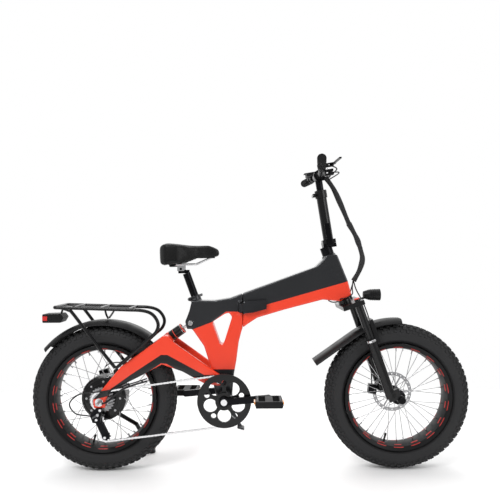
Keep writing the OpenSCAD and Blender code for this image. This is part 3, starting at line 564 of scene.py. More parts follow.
HOSE_R = 0.0025
sleeve = [(0.308, 0.038, 1.164), (0.342, 0.043, 1.116), (0.374, 0.047, 1.048), (0.404, 0.048, 0.976),
          (0.434, 0.048, 0.920), (0.449, 0.042, 0.876), (0.456, 0.032, 0.831), (0.444, 0.030, 0.786),
          (0.420, 0.033, 0.741)]
harness("harness_top", sleeve[:4])
lower_sleeve = harness("harness_middle", sleeve[3:6])
harness("harness_end", sleeve[5:])
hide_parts("control_cables")
tail = Vector(sleeve[8])
thin("front_brake_hose",
     [tail, (0.430, 0.036, 0.708), (0.449, 0.050, 0.676), (0.468, 0.057, 0.640), (0.484, 0.057, 0.596)],
     HOSE_R, "front_frame", "fork")
thin("front_caliper_hose",
     [(0.484, 0.057, 0.596), (0.496, 0.0575, 0.530), (0.500, 0.0575, 0.450), (0.496, 0.0575, 0.380),
     (0.497, 0.0575, 0.318)], HOSE_R, "fork", "fork_lowers")
thin("frame_cable_loop",
     [tail, (0.413, 0.038, 0.716), (0.405, 0.041, 0.692), (0.382, 0.041, 0.672), (0.354, 0.038, 0.657),
     (0.332, 0.028, 0.656), (0.316, 0.018, 0.663)], HOSE_R, "front_frame")
thin("frame_cable_near",
     [tail + Vector((-0.004, -0.006, 0)), (0.408, -0.004, 0.712), (0.402, -0.034, 0.692),
     (0.380, -0.0405, 0.678), (0.352, -0.0395, 0.672)], 0.0024, "front_frame")
thin("gear_cable",
     [(-0.400, -0.076, 0.372), (-0.450, -0.078, 0.356), (-0.500, -0.092, 0.344), (-0.545, -0.104, 0.332),
     (-0.600, -0.106, 0.326), (-0.655, -0.108, 0.318), (-0.690, -0.106, 0.284), (-0.668, -0.104, 0.246),
     (-0.616, -0.098, 0.235)], 0.0026, "swingarm")
thin("motor_cable",
     [(-0.567, -0.106, 0.282), (-0.545, -0.108, 0.292), (-0.520, -0.105, 0.312), (-0.490, -0.094, 0.334),
     (-0.455, -0.079, 0.347), (-0.400, -0.076, 0.362)], 0.0035, "swingarm")
thin("rear_brake_hose",
     [(-0.400, 0.076, 0.372), (-0.450, 0.080, 0.378), (-0.500, 0.094, 0.394), (-0.550, 0.095, 0.404),
     (-0.588, 0.082, 0.400), (-0.602, 0.073, 0.388)], HOSE_R, "swingarm")
for side in (-1, 1):
    name = "left" if side > 0 else "right"
    thin(f"{name}_lever_hose",
         [on_post(14, side * 158, 287), on_post(40, side * 138, 283), on_post(62, side * 95, 276),
         on_post(52, side * 50, 268), Vector(sleeve[0]) + Vector((0.006, 0, -0.006))], HOSE_R, "bars")
thin("shifter_cable",
     [on_post(34, -130, 262), on_post(66, -100, 262), on_post(70, -40, 262),
     Vector(sleeve[0]) + Vector((0.012, 0.002, -0.012))], 0.0024, "bars")
thin("display_cable",
     [on_post(0, 96, 286), on_post(18, 84, 268), on_post(34, 60, 262),
     Vector(sleeve[0]) + Vector((0.004, 0.004, -0.008))], 0.0022, "bars")


# -------- frame shells

def painted_frame(name, above, below=None, dark=(0.034, 0.035, 0.038), floor_z=None, sheen=0.7):
    """Red paint that turns dark over one line, or between two lines, or under a height."""
    look = Look(name, RED, 0.30, coat=0.22)
    look.set("Specular IOR Level", 0.35)
    edge = 0.0007
    over = look.ramp(look.math("SUBTRACT", look.axis(2), look.curve_of_x(above)), -edge, edge)
    if below:
        under = look.ramp(look.math("SUBTRACT", look.axis(2), look.curve_of_x(below)), -edge, edge)
        over = look.math("MULTIPLY", look.math("SUBTRACT", 1.0, over), under)
    if floor_z:
        over = look.math("MAXIMUM", over, look.ramp(look.axis(2), floor_z + edge, floor_z - edge))
    look.mix(over, dark)
    look.vary(5, 0.03)
    look.set("Metallic", look.math("MULTIPLY", over, sheen))
    return look.bump(look.noise(300, 2), 0.03, 0.0003).done()


cast_shell("front_frame", painted_frame(
    "front_frame_paint", [(-0.05, 0.609), (-0.03, 0.613), (0.065, 0.652), (0.386, 0.742), (0.42, 0.752)]))
cast_shell("rear_frame", painted_frame(
    "rear_frame_paint",
    [(-0.27, 0.545), (-0.226, 0.556), (-0.15, 0.585), (-0.095, 0.625), (-0.05, 0.625), (-0.015, 0.611)],
    floor_z=0.398))
cast_shell("swingarm", painted_frame(
    "swingarm_paint",
    [(-0.61, 0.315), (-0.54, 0.334), (-0.464, 0.386), (-0.347, 0.462), (-0.323, 0.462), (-0.190, 0.389),
     (-0.18, 0.383)],
    [(-0.61, 0.295), (-0.54, 0.311), (-0.464, 0.352), (-0.347, 0.429), (-0.325, 0.427), (-0.239, 0.376),
     (-0.18, 0.37)],
    dark=(0.005, 0.005, 0.0055), sheen=0.1))


# -------- tyres and wheels

BEAD_R = 0.2055
WIDEST_R = 0.238
TREAD_BLOCKS = 66
# angle from the crown, width, length, height and phase of each row of tread blocks
TREAD_ROWS = [
    (7, 0.010, 0.0165, 0.0045, 0.0), (-7, 0.010, 0.0165, 0.0045, 0.5),
    (27, 0.0105, 0.0145, 0.0045, 0.35), (-27, 0.0105, 0.0145, 0.0045, 0.85),
    (48, 0.0125, 0.0155, 0.0042, 0.0), (-48, 0.0125, 0.0155, 0.0042, 0.5),
    (66, 0.0095, 0.0115, 0.0030, 0.45), (-66, 0.0095, 0.0115, 0.0030, 0.95),
]


def tyre_section(angle, half, rise):
    """Point of the carcass (radius, y) at an angle from the crown."""
    s, c = math.sin(angle), math.cos(angle)
    power = 0.8
    y = half * math.copysign(abs(s) ** power, s)
    return WIDEST_R + rise * math.copysign(abs(c) ** power, c), y


def make_tyre(name, body, place):
    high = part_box(name)[1]
    half = min(high.y, 0.049) - 0.0035
    rise = high.z - place.z - 0.0048 - WIDEST_R
    build = Build()
    profile = []
    for i in range(33):
        a = math.radians(-150 + 300 * i / 32)
        r, y = tyre_section(a, half, rise if abs(a) < math.pi / 2 else WIDEST_R - BEAD_R)
        profile.append((max(r, BEAD_R), y * (1 if r > WIDEST_R else 0.98)))
    build.lathe(profile, 120, sideways(place))
    axle = Vector((0, 1, 0))
    for degrees, wide, long, tall, phase in TREAD_ROWS:
        a = math.radians(degrees)
        r, y = tyre_section(a, half, rise)
        section = Vector(tyre_section(a + 0.02, half, rise)) - Vector(tyre_section(a - 0.02, half, rise))
        section.normalize()
        out = Vector((-section.y, section.x))
        if out.x * math.cos(a) + out.y * math.sin(a) < 0:
            out = -out
        for k in range(TREAD_BLOCKS):
            turn = 2 * math.pi * (k + phase) / TREAD_BLOCKS
            stretch = 1.0 if abs(degrees) < 60 or k % 2 else 1.25
            radial = Vector((math.cos(turn), 0, math.sin(turn)))
            tangent = Vector((-math.sin(turn), 0, math.cos(turn)))
            across = radial * section.x + axle * section.y
            normal = radial * out.x + axle * out.y
            spot = place + radial * r + axle * y - normal * 0.0008
            m = Matrix.Translation(spot) @ Matrix((across, tangent, normal)).transposed().to_4x4()
            w, l = wide * stretch / 2, long / 2
            build.box((-w, -l, 0), (w, l, tall + 0.0008), m, taper=0.0011)
    # moulded ribs low on the sidewall
    for side in (-1, 1):
        for r, y_at in ((0.2165, 0.955), (0.2215, 0.975)):
            foot, crest = side * half * y_at * 0.93, side * (half * y_at + 0.0008) * 0.945
            build.lathe([(r - 0.0006, foot), (r, crest), (r + 0.0006, foot)], 96, sideways(place))
    build.put(f"{name}_treaded", "tyre", body, "tyre", (name,), smooth=40)


make_tyre("rear_tyre", "rear_wheel", REAR)
make_tyre("front_tyre", "front_wheel", FRONT)

SPOKES = 36
RIM_WINDOWS = 18


def make_wheel_trim(name, body, place):
    """The red tape seen in the rim's windows, the spoke nipples and the valve."""
    tape, nipples, valve = Build(), Build(), Build()
    n = 6
    for side in (-1, 1):
        for k in range(RIM_WINDOWS):
            a0, a1 = (2 * math.pi * (k + share) / RIM_WINDOWS for share in (0.22, 0.78))
            ring = []
            for i in range(n + 1):
                a = a0 + (a1 - a0) * i / n
                shrink = 0.0011 if i in (0, n) else 0
                for r, y in ((0.1952 + shrink / 2, 0.0407), (0.1978 - shrink / 2, 0.0419)):
                    ring += [polar(place, r, a, side * (y + lift)) for lift in (0, 0.0006)]
            faces = [(0, 1, 3, 2), (n * 4, n * 4 + 2, n * 4 + 3, n * 4 + 1)]
            for b in range(0, n * 4, 4):
                faces += [(b + i, b + i + 4, b + j + 4, b + j) for i, j in ((0, 1), (1, 3), (3, 2), (2, 0))]
            tape.add(ring, faces)
            inner = [polar(place, r - 0.0003 - lift, (a0 + a1) / 2 + turn, side * y)
                     for r, y in ((0.1905, 0.024), (0.1918, 0.030)) for turn in (-0.07, 0.07)
                     for lift in (0.0004, -0.0004)]
            tape.add(inner, [(0, 2, 6, 4), (1, 5, 7, 3), (0, 4, 5, 1), (4, 6, 7, 5), (6, 2, 3, 7),
                             (2, 0, 1, 3)])
    for i in range(SPOKES):
        a = 2 * math.pi * i / SPOKES
        side = 1 if i % 2 == 0 else -1
        tip, back = polar(place, 0.189, a, side * 0.008), polar(place, 0.175, a, side * 0.0098)
        nipples.disc(0.0023, (tip - back).length, 8, along(back, tip), 0.0006)
    foot, head = (polar(place, r, math.radians(255)) for r in (0.188, 0.158))
    valve.disc(0.0038, 0.02, 14, along(foot, head), 0.0005)
    valve.disc(0.0046, 0.012, 14, along(foot + (head - foot) * 0.6, head), 0.0008)
    tape.put(f"{name}_slots", "rim_tape", body, smooth=30)
    nipples.put(f"{name}_nipples", "chrome", body)
    valve.put(f"{name}_valve", "plastic", body)


make_wheel_trim("rear", "rear_wheel", REAR)
make_wheel_trim("front", "front_wheel", FRONT)


def bolts(name, look, body, places, radius, height, hexagon=True):
    """Socket or hexagon bolt heads at (point, outward direction) places."""
    build = Build()
    for point, out in places:
        point, out = Vector(point), Vector(out)
        m = along(point - out * 0.0006, point + out)
        build.disc(radius * 1.3, 0.0012, 24, m, 0.0003)
        build.disc(radius, height, 6 if hexagon else 24, m, 0.0005)
        if not hexagon:
            socket = radius * 0.62
            build.lathe([(radius * 0.45, height + 0.0002), (socket, height + 0.0004), (socket, height)], 6, m)
    build.put(name, look, body, smooth=30)


def ring_of(place, radius, y, out, count, phase=0.0):
    turns = [2 * math.pi * (k + phase) / count for k in range(count)]
    return [(polar(place, radius, a, y), (0, out, 0)) for a in turns]


bolts("motor_cover_bolts", "steel", "rear_wheel",
      ring_of(REAR, 0.066, -0.0362, -1, 8) + ring_of(REAR, 0.066, 0.0362, 1, 8), 0.0034, 0.0024)
for end, place, y in (("rear", REAR, 0.0690), ("front", FRONT, 0.0590)):
    heads = ring_of(place, 0.022, y, 1, 6)
    bolts(f"rotor_bolts_{end}", "steel", f"{end}_wheel", heads, 0.0028, 0.0018, False)
motor_trim = Build()
for side in (-1, 1):
    low_y, high_y = side * 0.0355, side * 0.0372
    for r in (0.050, 0.058, 0.0765):
        ridge = [(r - 0.0016, low_y), (r - 0.0008, high_y), (r + 0.0008, high_y), (r + 0.0016, low_y)]
        motor_trim.lathe(ridge, 72, sideways(REAR))
motor_trim.put("motor_rings", "black_paint", "rear_wheel", "frame_black")


# -------- cogs, chainring and chain

LINK = 0.0127
CHAIN_Y, COG_Y = -0.080, -0.0768
RING_R, COG_R, PULLEY_R = 0.099, 0.0346, 0.0205


def toothed(build, place, radius, y, thick, bore, tooth=0.0042):
    count = max(int(round(2 * math.pi * radius / LINK)), 9)
    root, tip = radius - tooth, radius + tooth * 0.35
    outline = [(r, 2 * math.pi * (k + share) / count) for k in range(count)
               for share, r in ((-0.28, root), (-0.13, tip), (0.13, tip), (0.28, root))]
    n = len(outline)
    verts = []
    for face_y in (y - thick / 2, y + thick / 2):
        verts += [polar(place, r, a, face_y) for r, a in outline]
        verts += [polar(place, bore, 2 * math.pi * i / n, face_y) for i in range(n)]
    faces = []
    for i in range(n):
        j = (i + 1) % n
        faces += [(i, j, n + j, n + i), (2 * n + i, 3 * n + i, 3 * n + j, 2 * n + j),
                  (i, 2 * n + i, 2 * n + j, j), (n + i, n + j, 3 * n + j, 3 * n + i)]
    build.add(verts, faces)


cogs = Build()
for i, radius in enumerate((0.0335, 0.0355, 0.038, 0.0405, 0.043, 0.0455, 0.048)):
    toothed(cogs, REAR, radius, COG_Y + i * 0.0038, 0.0019, bore=0.018)
cogs.lathe([(0.014, -0.053), (0.025, -0.053), (0.025, -0.079), (0.014, -0.079)], 48, sideways(REAR))
cogs.put("cog_cluster", "steel", "freewheel", "steel", ("freewheel",), smooth=25)

teeth = Build()
ring_centre = Vector((BB.x, 0, BB.z))
toothed(teeth, ring_centre, RING_R, CHAIN_Y, 0.0026, bore=0.088)
teeth.put("chainring_teeth", "black_alloy", "crank", smooth=25)
bolts("chainring_bolts", "chrome", "crank", ring_of(ring_centre, 0.0815, -0.0848, -1, 5, 0.15), 0.0042, 0.002,
      False)

guide = centre("guide_pulley")
tension = centre("tension_pulley")


def belt(circles):
    """A closed line round (centre, radius, turn) circles; turn is +1 for clockwise seen from the right."""
    def leave(a, b):
        d = Vector((b[0].x - a[0].x, b[0].z - a[0].z))
        return math.atan2(d.y, d.x) - math.asin((a[1] * a[2] - b[1] * b[2]) / d.length)

    headings = [leave(circles[i], circles[(i + 1) % len(circles)]) for i in range(len(circles))]
    line = []
    for i, (c, r, turn) in enumerate(circles):
        first, last = headings[i - 1], headings[i]
        sweep = (first - last) % (2 * math.pi) if turn > 0 else (last - first) % (2 * math.pi)
        steps = max(int(sweep * r / 0.003), 2)
        for k in range(steps + 1):
            h = first - turn * sweep * k / steps
            line.append(Vector((c.x - turn * r * math.sin(h), c.y, c.z + turn * r * math.cos(h))))
    return line


def evenly(line, count):
    lengths = [0.0]
    closed = line + [line[0]]
    for a, b in zip(closed, closed[1:]):
        lengths.append(lengths[-1] + (b - a).length)
    out, k = [], 0
    for i in range(count):
        target = lengths[-1] * i / count
        while lengths[k + 1] < target:
            k += 1
        t = (target - lengths[k]) / max(lengths[k + 1] - lengths[k], 1e-9)
        out.append(closed[k].lerp(closed[k + 1], t))
    return out, lengths[-1]


def plate_outline(length, tall):
    """A link plate: two round ends and a slight waist."""
    pts = []
    for end, first in ((1, -75), (-1, 105)):
        for k in range(7):
            a = math.radians(first + 150 * k / 6)
            pts.append((end * length / 2 + tall * math.cos(a), tall * math.sin(a)))
        pts.append((0, end * tall * 0.72))
    return pts


def make_chain():
    circles = [
        (Vector((BB.x, CHAIN_Y, BB.z)), RING_R, 1),
        (Vector((tension.x, CHAIN_Y, tension.z)), PULLEY_R, 1),
        (Vector((guide.x, CHAIN_Y, guide.z)), PULLEY_R, -1),
        (Vector((REAR.x, COG_Y, REAR.z)), COG_R, 1),
    ]
    line = belt(circles)
    _, length = evenly(line, 4)
    count = int(length / LINK / 2) * 2
    pins, _ = evenly(line, count)
    # the top run, the lower run and the links that the cage carries are each built as a piece of their own
    slack = tension.x + 0.14
    order = ["chain_top", "chain_lower", "chain_cage", "chain_top"]
    builds = {name: Build() for name in order}
    stage = 0
    for i in range(count):
        a, b = pins[i], pins[(i + 1) % count]
        mid = (a + b) / 2
        off_ring = mid.z < BB.z and math.hypot(mid.x - BB.x, mid.z - BB.z) > RING_R + 0.0008
        stage += [off_ring, mid.x < slack, mid.z > guide.z, False][stage]
        build = builds[order[stage]]
        x = (b - a).normalized()
        y = Vector((0, 1, 0))
        m = Matrix.Translation(mid) @ Matrix((x, y, x.cross(y).normalized())).transposed().to_4x4()
        outer = i % 2
        outline = plate_outline((b - a).length, 0.0040 if outer else 0.0037)
        n = len(outline)
        layers = (0.0023, 0.0031) if outer else (0.0014, 0.0022)
        for side in (-1, 1):
            verts = [(px, side * layer, pz) for layer in layers for px, pz in outline]
            faces = [tuple(range(n)), tuple(range(2 * n - 1, n - 1, -1))]
            faces += [(k, n + k, n + (k + 1) % n, (k + 1) % n) for k in range(n)]
            build.add(verts, faces, m)
        for radius, width, sides in ((0.0035, 0.0026, 12), (0.0016, 0.0068, 10)):
            build.disc(radius, width, sides, sideways(a - y * (width / 2)), 0.0003)
    for name, low, high, first, last in (
        ("chain_top", "rear_frame", "swingarm", BB.x, BB.x - 0.07),
        ("chain_lower", "rear_frame", "swingarm", BB.x, slack),
        ("chain_cage", "swingarm", "derailleur_cage", slack, tension.x + 0.03),
    ):
        obj = builds[name].put(name, "chrome", None, "steel", ("chain",))
        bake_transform(obj)


make_chain()

for name, place in (("guide_pulley", guide), ("tension_pulley", tension)):
    jockey = Build()
    toothed(jockey, Vector((place.x, 0, place.z)), 0.0178, CHAIN_Y, 0.0032, bore=0.0052, tooth=0.0032)
    jockey.lathe([(0.005, -0.0022), (0.0085, -0.0022), (0.0085, 0.0022), (0.005, 0.0022)], 24,
                 sideways((place.x, CHAIN_Y, place.z)))
    jockey.put(f"{name}_toothed", "plastic", name, "black_plastic", (name,), smooth=25)

low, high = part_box("derailleur")
RIGHT = (0, -1, 0)
bolts("derailleur_bolts", "chrome", "swingarm",
      [((high.x - 0.008, low.y, high.z - 0.008), RIGHT), ((guide.x + 0.004, low.y, guide.z + 0.018), RIGHT)],
      0.0042, 0.0024, False)
cage_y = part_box("derailleur_cage")[0].y
bolts("pulley_bolts", "chrome", "derailleur_cage",
      [((place.x, cage_y, place.z), RIGHT) for place in (guide, tension)], 0.0040, 0.0022, False)
barrel = Build()
barrel.disc(0.0042, 0.010, 16, along((-0.6235, -0.0985, 0.2365), (-0.610, -0.0975, 0.233)), 0.001)
barrel.disc(0.0050, 0.004, 12, along((-0.6175, -0.0980, 0.2350), (-0.610, -0.0975, 0.233)), 0.0006)
barrel.put("barrel_adjuster", "steel", "swingarm")
spring = Build()
coil = [(low.x + 0.010 + 0.024 * t, low.y - 0.0012 + 0.003 * math.cos(t * 44),
         low.z + 0.020 + 0.004 * math.sin(t * 44) + 0.014 * t) for t in [i / 40 for i in range(41)]]
tube(spring, coil, 0.0008, 6, 2)
spring.put("derailleur_spring", "steel", "swingarm")


# -------- saddle

CLOTH = {"quality": 6, "mass": 0.25, "tension_stiffness": 18, "compression_stiffness": 18,
         "bending_stiffness": 2.5, "use_pressure": True, "uniform_pressure_force": 4}
CLOTH_FRAMES = 20
MOST_SWELL = 0.005


def swell(obj):
    """Stuffs a padded cover by a cloth simulation, and caps how far any point of it moves."""
    start = [v.co.copy() for v in obj.data.vertices]
    cloth = modify(obj, "CLOTH")
    for name, value in CLOTH.items():
        setattr(cloth.settings, name, value)
    cloth.settings.effector_weights.gravity = 0
    cloth.point_cache.frame_start = 1
    cloth.point_cache.frame_end = CLOTH_FRAMES
    scene = bpy.context.scene
    for frame_number in range(1, CLOTH_FRAMES + 1):
        scene.frame_set(frame_number)
    apply_all(obj)
    scene.frame_set(1)
    for v, was in zip(obj.data.vertices, start):
        move = v.co - was
        if move.length > MOST_SWELL:
            v.co = was + move * (MOST_SWELL / move.length)


def make_saddle():
    obj = copy_of("saddle_cushion", "saddle_cover")
    low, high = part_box("saddle_cushion")
    middle = (low + high) / 2
    for v in obj.data.vertices:
        v.co = middle + Vector(((v.co.x - middle.x) * 0.985, (v.co.y - middle.y) * 0.975,
                                (v.co.z - middle.z) * 0.96 - 0.0005))
    modify(obj, "REMESH", mode="VOXEL", voxel_size=0.0045)
    modify(obj, "SMOOTH", factor=0.6, iterations=14)
    apply_all(obj)
    swell(obj)
    # the moulded hollow along the middle
    for v in obj.data.vertices:
        along_x = (v.co.x - low.x) / (high.x - low.x)
        if v.co.z > low.z + 0.055:
            ends = smoothstep((along_x - 0.12) / 0.2) * (1 - smoothstep((along_x - 0.62) / 0.25))
            v.co.z -= 0.0045 * math.exp(-(v.co.y / 0.010) ** 2) * ends
        v.co.x = min(max(v.co.x, low.x - 0.003), high.x + 0.003)
        v.co.z = min(max(v.co.z, low.z - 0.001), high.z + 0.002)
    modify(obj, "SUBSURF", levels=1, render_levels=1)
    apply_all(obj)
    dress(obj, looks["leather"], "saddle", "saddle_cushion")
    return obj, low, high


saddle, saddle_low, saddle_high = make_saddle()


def surface_line(obj, points, lift):
    """Drops points onto the top of an object, for seams and stitches."""
    bpy.context.view_layer.update()
    inverse = obj.matrix_world.inverted()
    out = []
    for x, y in points:
        hit, spot, normal, _ = obj.ray_cast(inverse @ Vector((x, y, 1.2)), Vector((0, 0, -1)))
        if hit:
            out.append(obj.matrix_world @ spot + normal * lift)
    return out


def seam_points(side):
    pts = []
    for i in range(40):
        t = i / 39
        x = saddle_low.x + 0.014 + (saddle_high.x - saddle_low.x - 0.034) * t
        narrowing = smoothstep((t - 0.15) / 0.6)
        wide = 0.066 * (1 - narrowing) + 0.012 * narrowing
        pts.append((x, side * wide * smoothstep((t + 0.02) / 0.12)))
    return pts


seams = Build()
for side in (-1, 1):
    line = surface_line(saddle, seam_points(side), 0.0002)
    if len(line) > 4:
        tube(seams, line[::2], 0.0009, 8, 4)
seams.put("saddle_piping", "satin", "saddle", smooth=60)
elastomer = Build()
for side in (-1, 1):
    m = Matrix.Translation((saddle_low.x + 0.052, side * 0.034, 0.802))
    elastomer.disc(0.0125, 0.019, 24, m, 0.003)
    elastomer.disc(0.0145, 0.005, 24, m @ Matrix.Translation((0, 0, 0.007)), 0.0015)
elastomer.put("saddle_springs", "rubber", "saddle", "rubber")


# -------- grips and controls

GRIP_RIBS = 22


def make_grips():
    build = Build()
    for side in (-1, 1):
        a, b = on_post(-6.7, side * 186.5, 285.1), on_post(-22, side * 310, 291)
        length = (b - a).length
        profile = [(0.0112, 0.0), (0.0165, 0.0), (0.0168, 0.002), (0.0168, 0.007), (0.0150, 0.009)]
        pitch = (length - 0.024) / GRIP_RIBS
        for i in range(GRIP_RIBS):
            z = 0.010 + pitch * i
            r = 0.0149 + 0.0008 * math.sin(math.pi * i / GRIP_RIBS)
            crest = r + 0.0009
            profile += [(r, z), (crest, z + pitch * 0.25), (crest, z + pitch * 0.6), (r, z + pitch * 0.85)]
        profile += [(0.0165, length - 0.012), (0.0165, length - 0.003), (0.0145, length), (0.001, length),
                    (0.001, 0.0)]
        build.lathe(profile, 32, along(a, b))
    build.put("grips_ribbed", "rubber", "bars", "rubber", ("grips",), smooth=40)


make_grips()

screen = Build()
face = on_post(-30, 128, 307.4)
tilt = Matrix.Rotation(math.radians(-STEM_ANGLE), 4, "Y")
screen.box((-0.016, -0.022, 0), (0.016, 0.022, 0.0012),
           Matrix.Translation(face + Vector((0.006, -0.005, 0))) @ tilt, 0.0006)
screen.put("display_screen", "screen", "bars", "gloss_black")
buttons = Build()
for dy in (-0.010, 0.0, 0.010):
    at = Matrix.Translation(face + Vector((0.026, dy - 0.005, -0.0015)))
    buttons.disc(0.0032, 0.0016, 16, at @ tilt, 0.0005)
buttons.put("display_buttons", "rubber", "bars")
clamp_places = [(on_post(16, y, 274), (0.985, 0, 0.155)) for y in (-152, 152, -128, 128)]
bolts("perch_bolts", "chrome", "bars", clamp_places, 0.0026, 0.0028, False)


# -------- lights

HEADLIGHT_R = 0.023


def make_lights():
    low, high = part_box("headlight")
    z = high.z - HEADLIGHT_R
    glass, bowl = Build(), Build()
    axis_m = lengthways((high.x - 0.0025, 0, z))
    dome = [(0.0001, 0.0022), (0.010, 0.0020), (0.016, 0.0014), (0.0195, 0.0006), (0.0195, 0.0)]
    glass.lathe(dome, 40, axis_m, closed=False)
    bowl.lathe([(0.0195, 0.0), (0.0222, 0.0), (0.0222, 0.0028), (0.0195, 0.0028)], 48, axis_m)
    bowl.lathe([(0.0001, 0.0023), (0.0055, 0.0027), (0.0075, 0.0022)], 24, axis_m, closed=False)
    glass.put("headlight_glass", "lens", "fork")
    bowl.put("headlight_ring", "chrome", "fork", "chrome")
    ribs = Build()
    for k in range(3):
        r = HEADLIGHT_R - 0.0008 - 0.0004 * k
        ribs.lathe([(r, -0.0012), (r + 0.0011, -0.0006), (r + 0.0011, 0.0006), (r, 0.0012)], 40,
                   lengthways((high.x - 0.020 - 0.008 * k, 0, z)))
    ribs.put("headlight_ribs", "satin", "fork")
    low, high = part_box("tail_light")
    trim, dots = Build(), Build()
    trim.box((low.x + 0.030, low.y - 0.0006, low.z + 0.004), (low.x + 0.036, high.y + 0.0006, high.z - 0.004))
    glass = Build()
    glass.box((low.x - 0.0012, low.y + 0.004, low.z + 0.005), (low.x + 0.012, high.y - 0.004, high.z - 0.005))
    glass.box((low.x + 0.001, low.y - 0.0012, low.z + 0.009),
              (low.x + 0.020, high.y + 0.0012, high.z - 0.010))
    glass.put("tail_light_lens", "red_lens", "swingarm", "lens_red")
    for iy in range(5):
        for iz in range(2):
            spot = (low.x - 0.0010, low.y + 0.011 + iy * 0.0115, low.z + 0.0135 + iz * 0.012)
            dots.disc(0.0035, 0.0012, 16, lengthways(spot, -1), 0.0004)
    trim.put("tail_light_housing", "plastic", "swingarm", "black_plastic")
    dots.put("tail_light_leds", "red_lens", "swingarm", "lens_red")


make_lights()


# -------- small parts on the bicycle

def ring_piece(name, look, body, centre_point, towards, inner, outer, height):
    build = Build()
    c = min(height, outer - inner) * 0.25
    build.lathe([(inner, 0), (outer - c, 0), (outer, c), (outer, height - c), (outer - c, height),
                 (inner, height)], 48, along(centre_point, towards))
    build.put(name, look, body, smooth=30)


for side, name in ((-1, "right"), (1, "left")):
    top, low = on_head(36, side * 80, -359), on_head(36, side * 80, -371)
    ring_piece(f"{name}_wiper_ring", "chrome", "fork_lowers", low, top, 0.0158, 0.0198, 0.009)
    ring_piece(f"{name}_wiper_seal", "rubber", "fork_lowers", top - (top - low) * 0.26, top + (top - low),
               0.0155, 0.0180, 0.006)
    ring_piece(f"{name}_preload_knob", "red", "fork", on_head(36, side * 80, -197),
               on_head(36, side * 80, -190), 0.002, 0.0105, 0.006)

# key switch on the side of the front frame
key_matrix = sideways((0.005, -0.0352, 0.651), -1)
port, metal = Build(), Build()
port.disc(0.0125, 0.0026, 32, key_matrix, 0.0008)
metal.lathe([(0.0062, 0.0022), (0.0080, 0.0022), (0.0080, 0.0034), (0.0062, 0.0034)], 32, key_matrix)
metal.disc(0.0048, 0.0032, 20, key_matrix, 0.0005)
port.put("key_switch", "rubber", "front_frame", "rubber")
metal.put("key_barrel", "chrome", "front_frame", "chrome")

# pedal reflectors and tread pins
for name in ("right_pedal", "left_pedal"):
    low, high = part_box(name)
    glow, pins = Build(), Build()
    middle = (low.z + high.z) / 2
    for end, x in ((-1, low.x), (1, high.x)):
        glow.box((x - 0.0035, low.y + 0.030, middle - 0.0045), (x + 0.0035, high.y - 0.030, middle + 0.0045))
        for k in range(5):
            y = low.y + 0.012 + (high.y - low.y - 0.024) * k / 4
            pins.disc(0.0022, 0.0024, 10, Matrix.Translation((x - end * 0.010, y, high.z - 0.0006)), 0.0005)
    glow.put(f"{name}_reflectors", "amber", name)
    pins.put(f"{name}_pins", "steel", name)

# crank end caps, axle nuts and caps
crank_caps, nuts, front_caps = Build(), Build(), Build()
for side in (-1, 1):
    crank_caps.disc(0.0125, 0.003, 32, sideways((BB.x, side * 0.1098, BB.z), side), 0.0009)
    nuts.disc(0.0155, 0.0016, 32, sideways((REAR.x, side * 0.0985, REAR.z), side), 0.0004)
    nuts.disc(0.0118, 0.0105, 6, sideways((REAR.x, side * 0.1001, REAR.z), side), 0.0012)
    front_caps.disc(0.0125, 0.0024, 32, sideways((FRONT.x, side * 0.1001, FRONT.z), side), 0.0008)
    front_caps.disc(0.0052, 0.0032, 6, sideways((FRONT.x, side * 0.1004, FRONT.z), side), 0.0006)
crank_caps.put("crank_caps", "chrome", "crank", "chrome")
nuts.put("rear_axle_nuts", "chrome", "swingarm", "steel")
front_caps.put("front_axle_caps", "black_alloy", "fork_lowers")

# kickstand foot
foot_at = Vector((REAR.x + 0.150, 0.180, 0.0))
knee = Vector((REAR.x - 0.008, 0.108, REAR.z - 0.078))
boot = Build()
boot.lathe([(0.004, 0.009), (0.0128, 0.010), (0.0138, 0.014), (0.0130, 0.040), (0.0118, 0.043),
            (0.009, 0.043)], 28, along(foot_at, knee))
boot.put("kickstand_boot", "rubber", "kickstand", "rubber")

# shock can rings
shock_top, shock_low = Vector((-0.236, 0, 0.581)), Vector((-0.330, 0, 0.515))
axis = (shock_low - shock_top).normalized()
for name, at, look, wide, tall in (
    ("shock_red_ring", 0.040, "red", 0.0216, 0.0040),
    ("shock_silver_ring", 0.046, "chrome", 0.0214, 0.0022),
    ("shock_knob", 0.078, "red", 0.0214, 0.0032),
):
    spot = shock_top + axis * at
    ring_piece(name, look, "shock_can", spot, spot + axis, 0.0185, wide, tall)

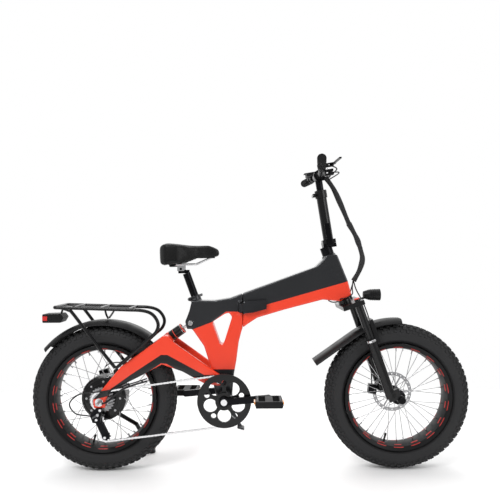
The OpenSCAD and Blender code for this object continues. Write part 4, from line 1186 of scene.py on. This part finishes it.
def make_rack():
    """The rear rack's bent tubing, with rounded hoops."""
    bars, r = Build(), 0.0066
    x, z, half = REAR.x, REAR.z, 0.078
    loop = [(-0.178, 0.0, 0.362), (-0.178, half - 0.018, 0.362), (-0.174, half - 0.005, 0.362),
            (-0.162, half, 0.3615), (-0.06, half, 0.358), (0.10, half, 0.352), (0.160, half, 0.349),
            (0.196, half, 0.338), (0.217, half, 0.316), (0.2245, half, 0.290), (0.214, half, 0.263),
            (0.188, half, 0.240), (0.130, half, 0.188), (0.060, half, 0.126)]
    leg = [(-0.150, half, 0.361), (-0.122, half, 0.352), (-0.104, half, 0.338), (-0.020, half, 0.226),
           (0.058, half, 0.128)]
    stay = [(0.020, half, 0.354), (0.019, 0.060, 0.335), (0.014, 0.012, 0.314)]
    for side in (-1, 1):
        for line, radius, sides, steps in ((loop, r, 14, 8), (leg, r, 14, 8), (stay, 0.0040, 10, 6)):
            tube(bars, [(x + dx, side * dy, z + dz) for dx, dy, dz in line], radius, sides, steps)
        bars.disc(0.011, 0.008, 28, sideways((x + 0.062, side * half - 0.004, z + 0.114)), 0.001)
    for dx in (-0.100, 0.0, 0.110):
        zz = z + 0.359 - dx / 26
        tube(bars, [(x + dx, -half, zz), (x + dx, half, zz)], 0.0045, 12, 1)
    tube(bars, [(x - 0.130, 0, z + 0.360), (x + 0.120, 0, z + 0.350)], 0.0045, 12, 1)
    tube(bars, [(x - 0.166, 0, z + 0.361), (x - 0.175, 0, z + 0.334)], 0.0040, 12, 1)
    bars.put("rack_tubing", "black_paint", "swingarm", "frame_black", ("rear_rack",), smooth=50)


make_rack()

# cable clips along the swingarm
clips = Build()
for x, y, z, r in ((-0.420, -0.0735, 0.3620, 0.0042), (-0.470, -0.0800, 0.3510, 0.0042)):
    clips.lathe([(r, -0.003), (r + 0.0012, -0.0026), (r + 0.0012, 0.0026), (r, 0.003)], 20,
                along((x, y, z), (x - 0.03, y - 0.004, z - 0.012)))
clips.put("cable_clips", "plastic", "swingarm")


# -------- finish of the CAD pieces

# the width in millimetres to which each CAD piece's edges are rounded, by its look
FINISH = {
    "steel": {"frame_hinge_pin": 0.6, "rear_axle": 0.6, "front_axle": 0.6},
    "chrome": {"suspension_bolts": 1.0, "saddle_rails": 0.4, "shock_shaft": 0.8},
    "alloy": {"seat_qr_lever": 1.2, "height_lever": 1.2},
    "black_alloy": {"seat_post": 0.8, "rear_caliper": 1.5, "derailleur": 1.5, "derailleur_cage": 0.8,
        "right_crank": 2.0, "left_crank": 2.0, "stem_base": 1.8, "front_caliper": 1.5, "front_hub": 1.2,
        "stem_latch": 1.5, "bar_post": 1.0, "left_brake_lever": 1.5, "right_brake_lever": 1.5},
    "plastic": {"saddle_base": 1.5, "tail_light": 3.0, "guide_pulley": 0.6, "tension_pulley": 0.6,
        "right_pedal": 1.2, "left_pedal": 1.2, "battery_pack": 2.0, "bar_controls": 1.5,
        "shift_lever": 1.5},
    "black_paint": {"shock_can": 1.0, "kickstand": 1.2, "hub_motor": 2.0, "chainring": 0.7,
        "fork_upper": 1.8, "fork_lowers": 2.5, "handlepost": 1.5, "handlebar": 0.5},
    "satin": {"rear_fender": 0.8, "rear_rim": 0.8, "front_rim": 0.8, "headlight": 1.2,
        "front_fender": 0.8},
    "brushed": {"rear_disc": 0.3, "front_disc": 0.3},
    "gunmetal": {"frame_latch": 1.8},
    "rubber": {"throttle_lever": 1.5},
}
for look, widths in FINISH.items():
    for node, width in widths.items():
        soften(node, look, width * MM)
for node in ("rear_spokes", "front_spokes"):
    nodes[node].data.materials.clear()
    nodes[node].data.materials.append(looks["steel"])
    nodes[node].data.shade_smooth()
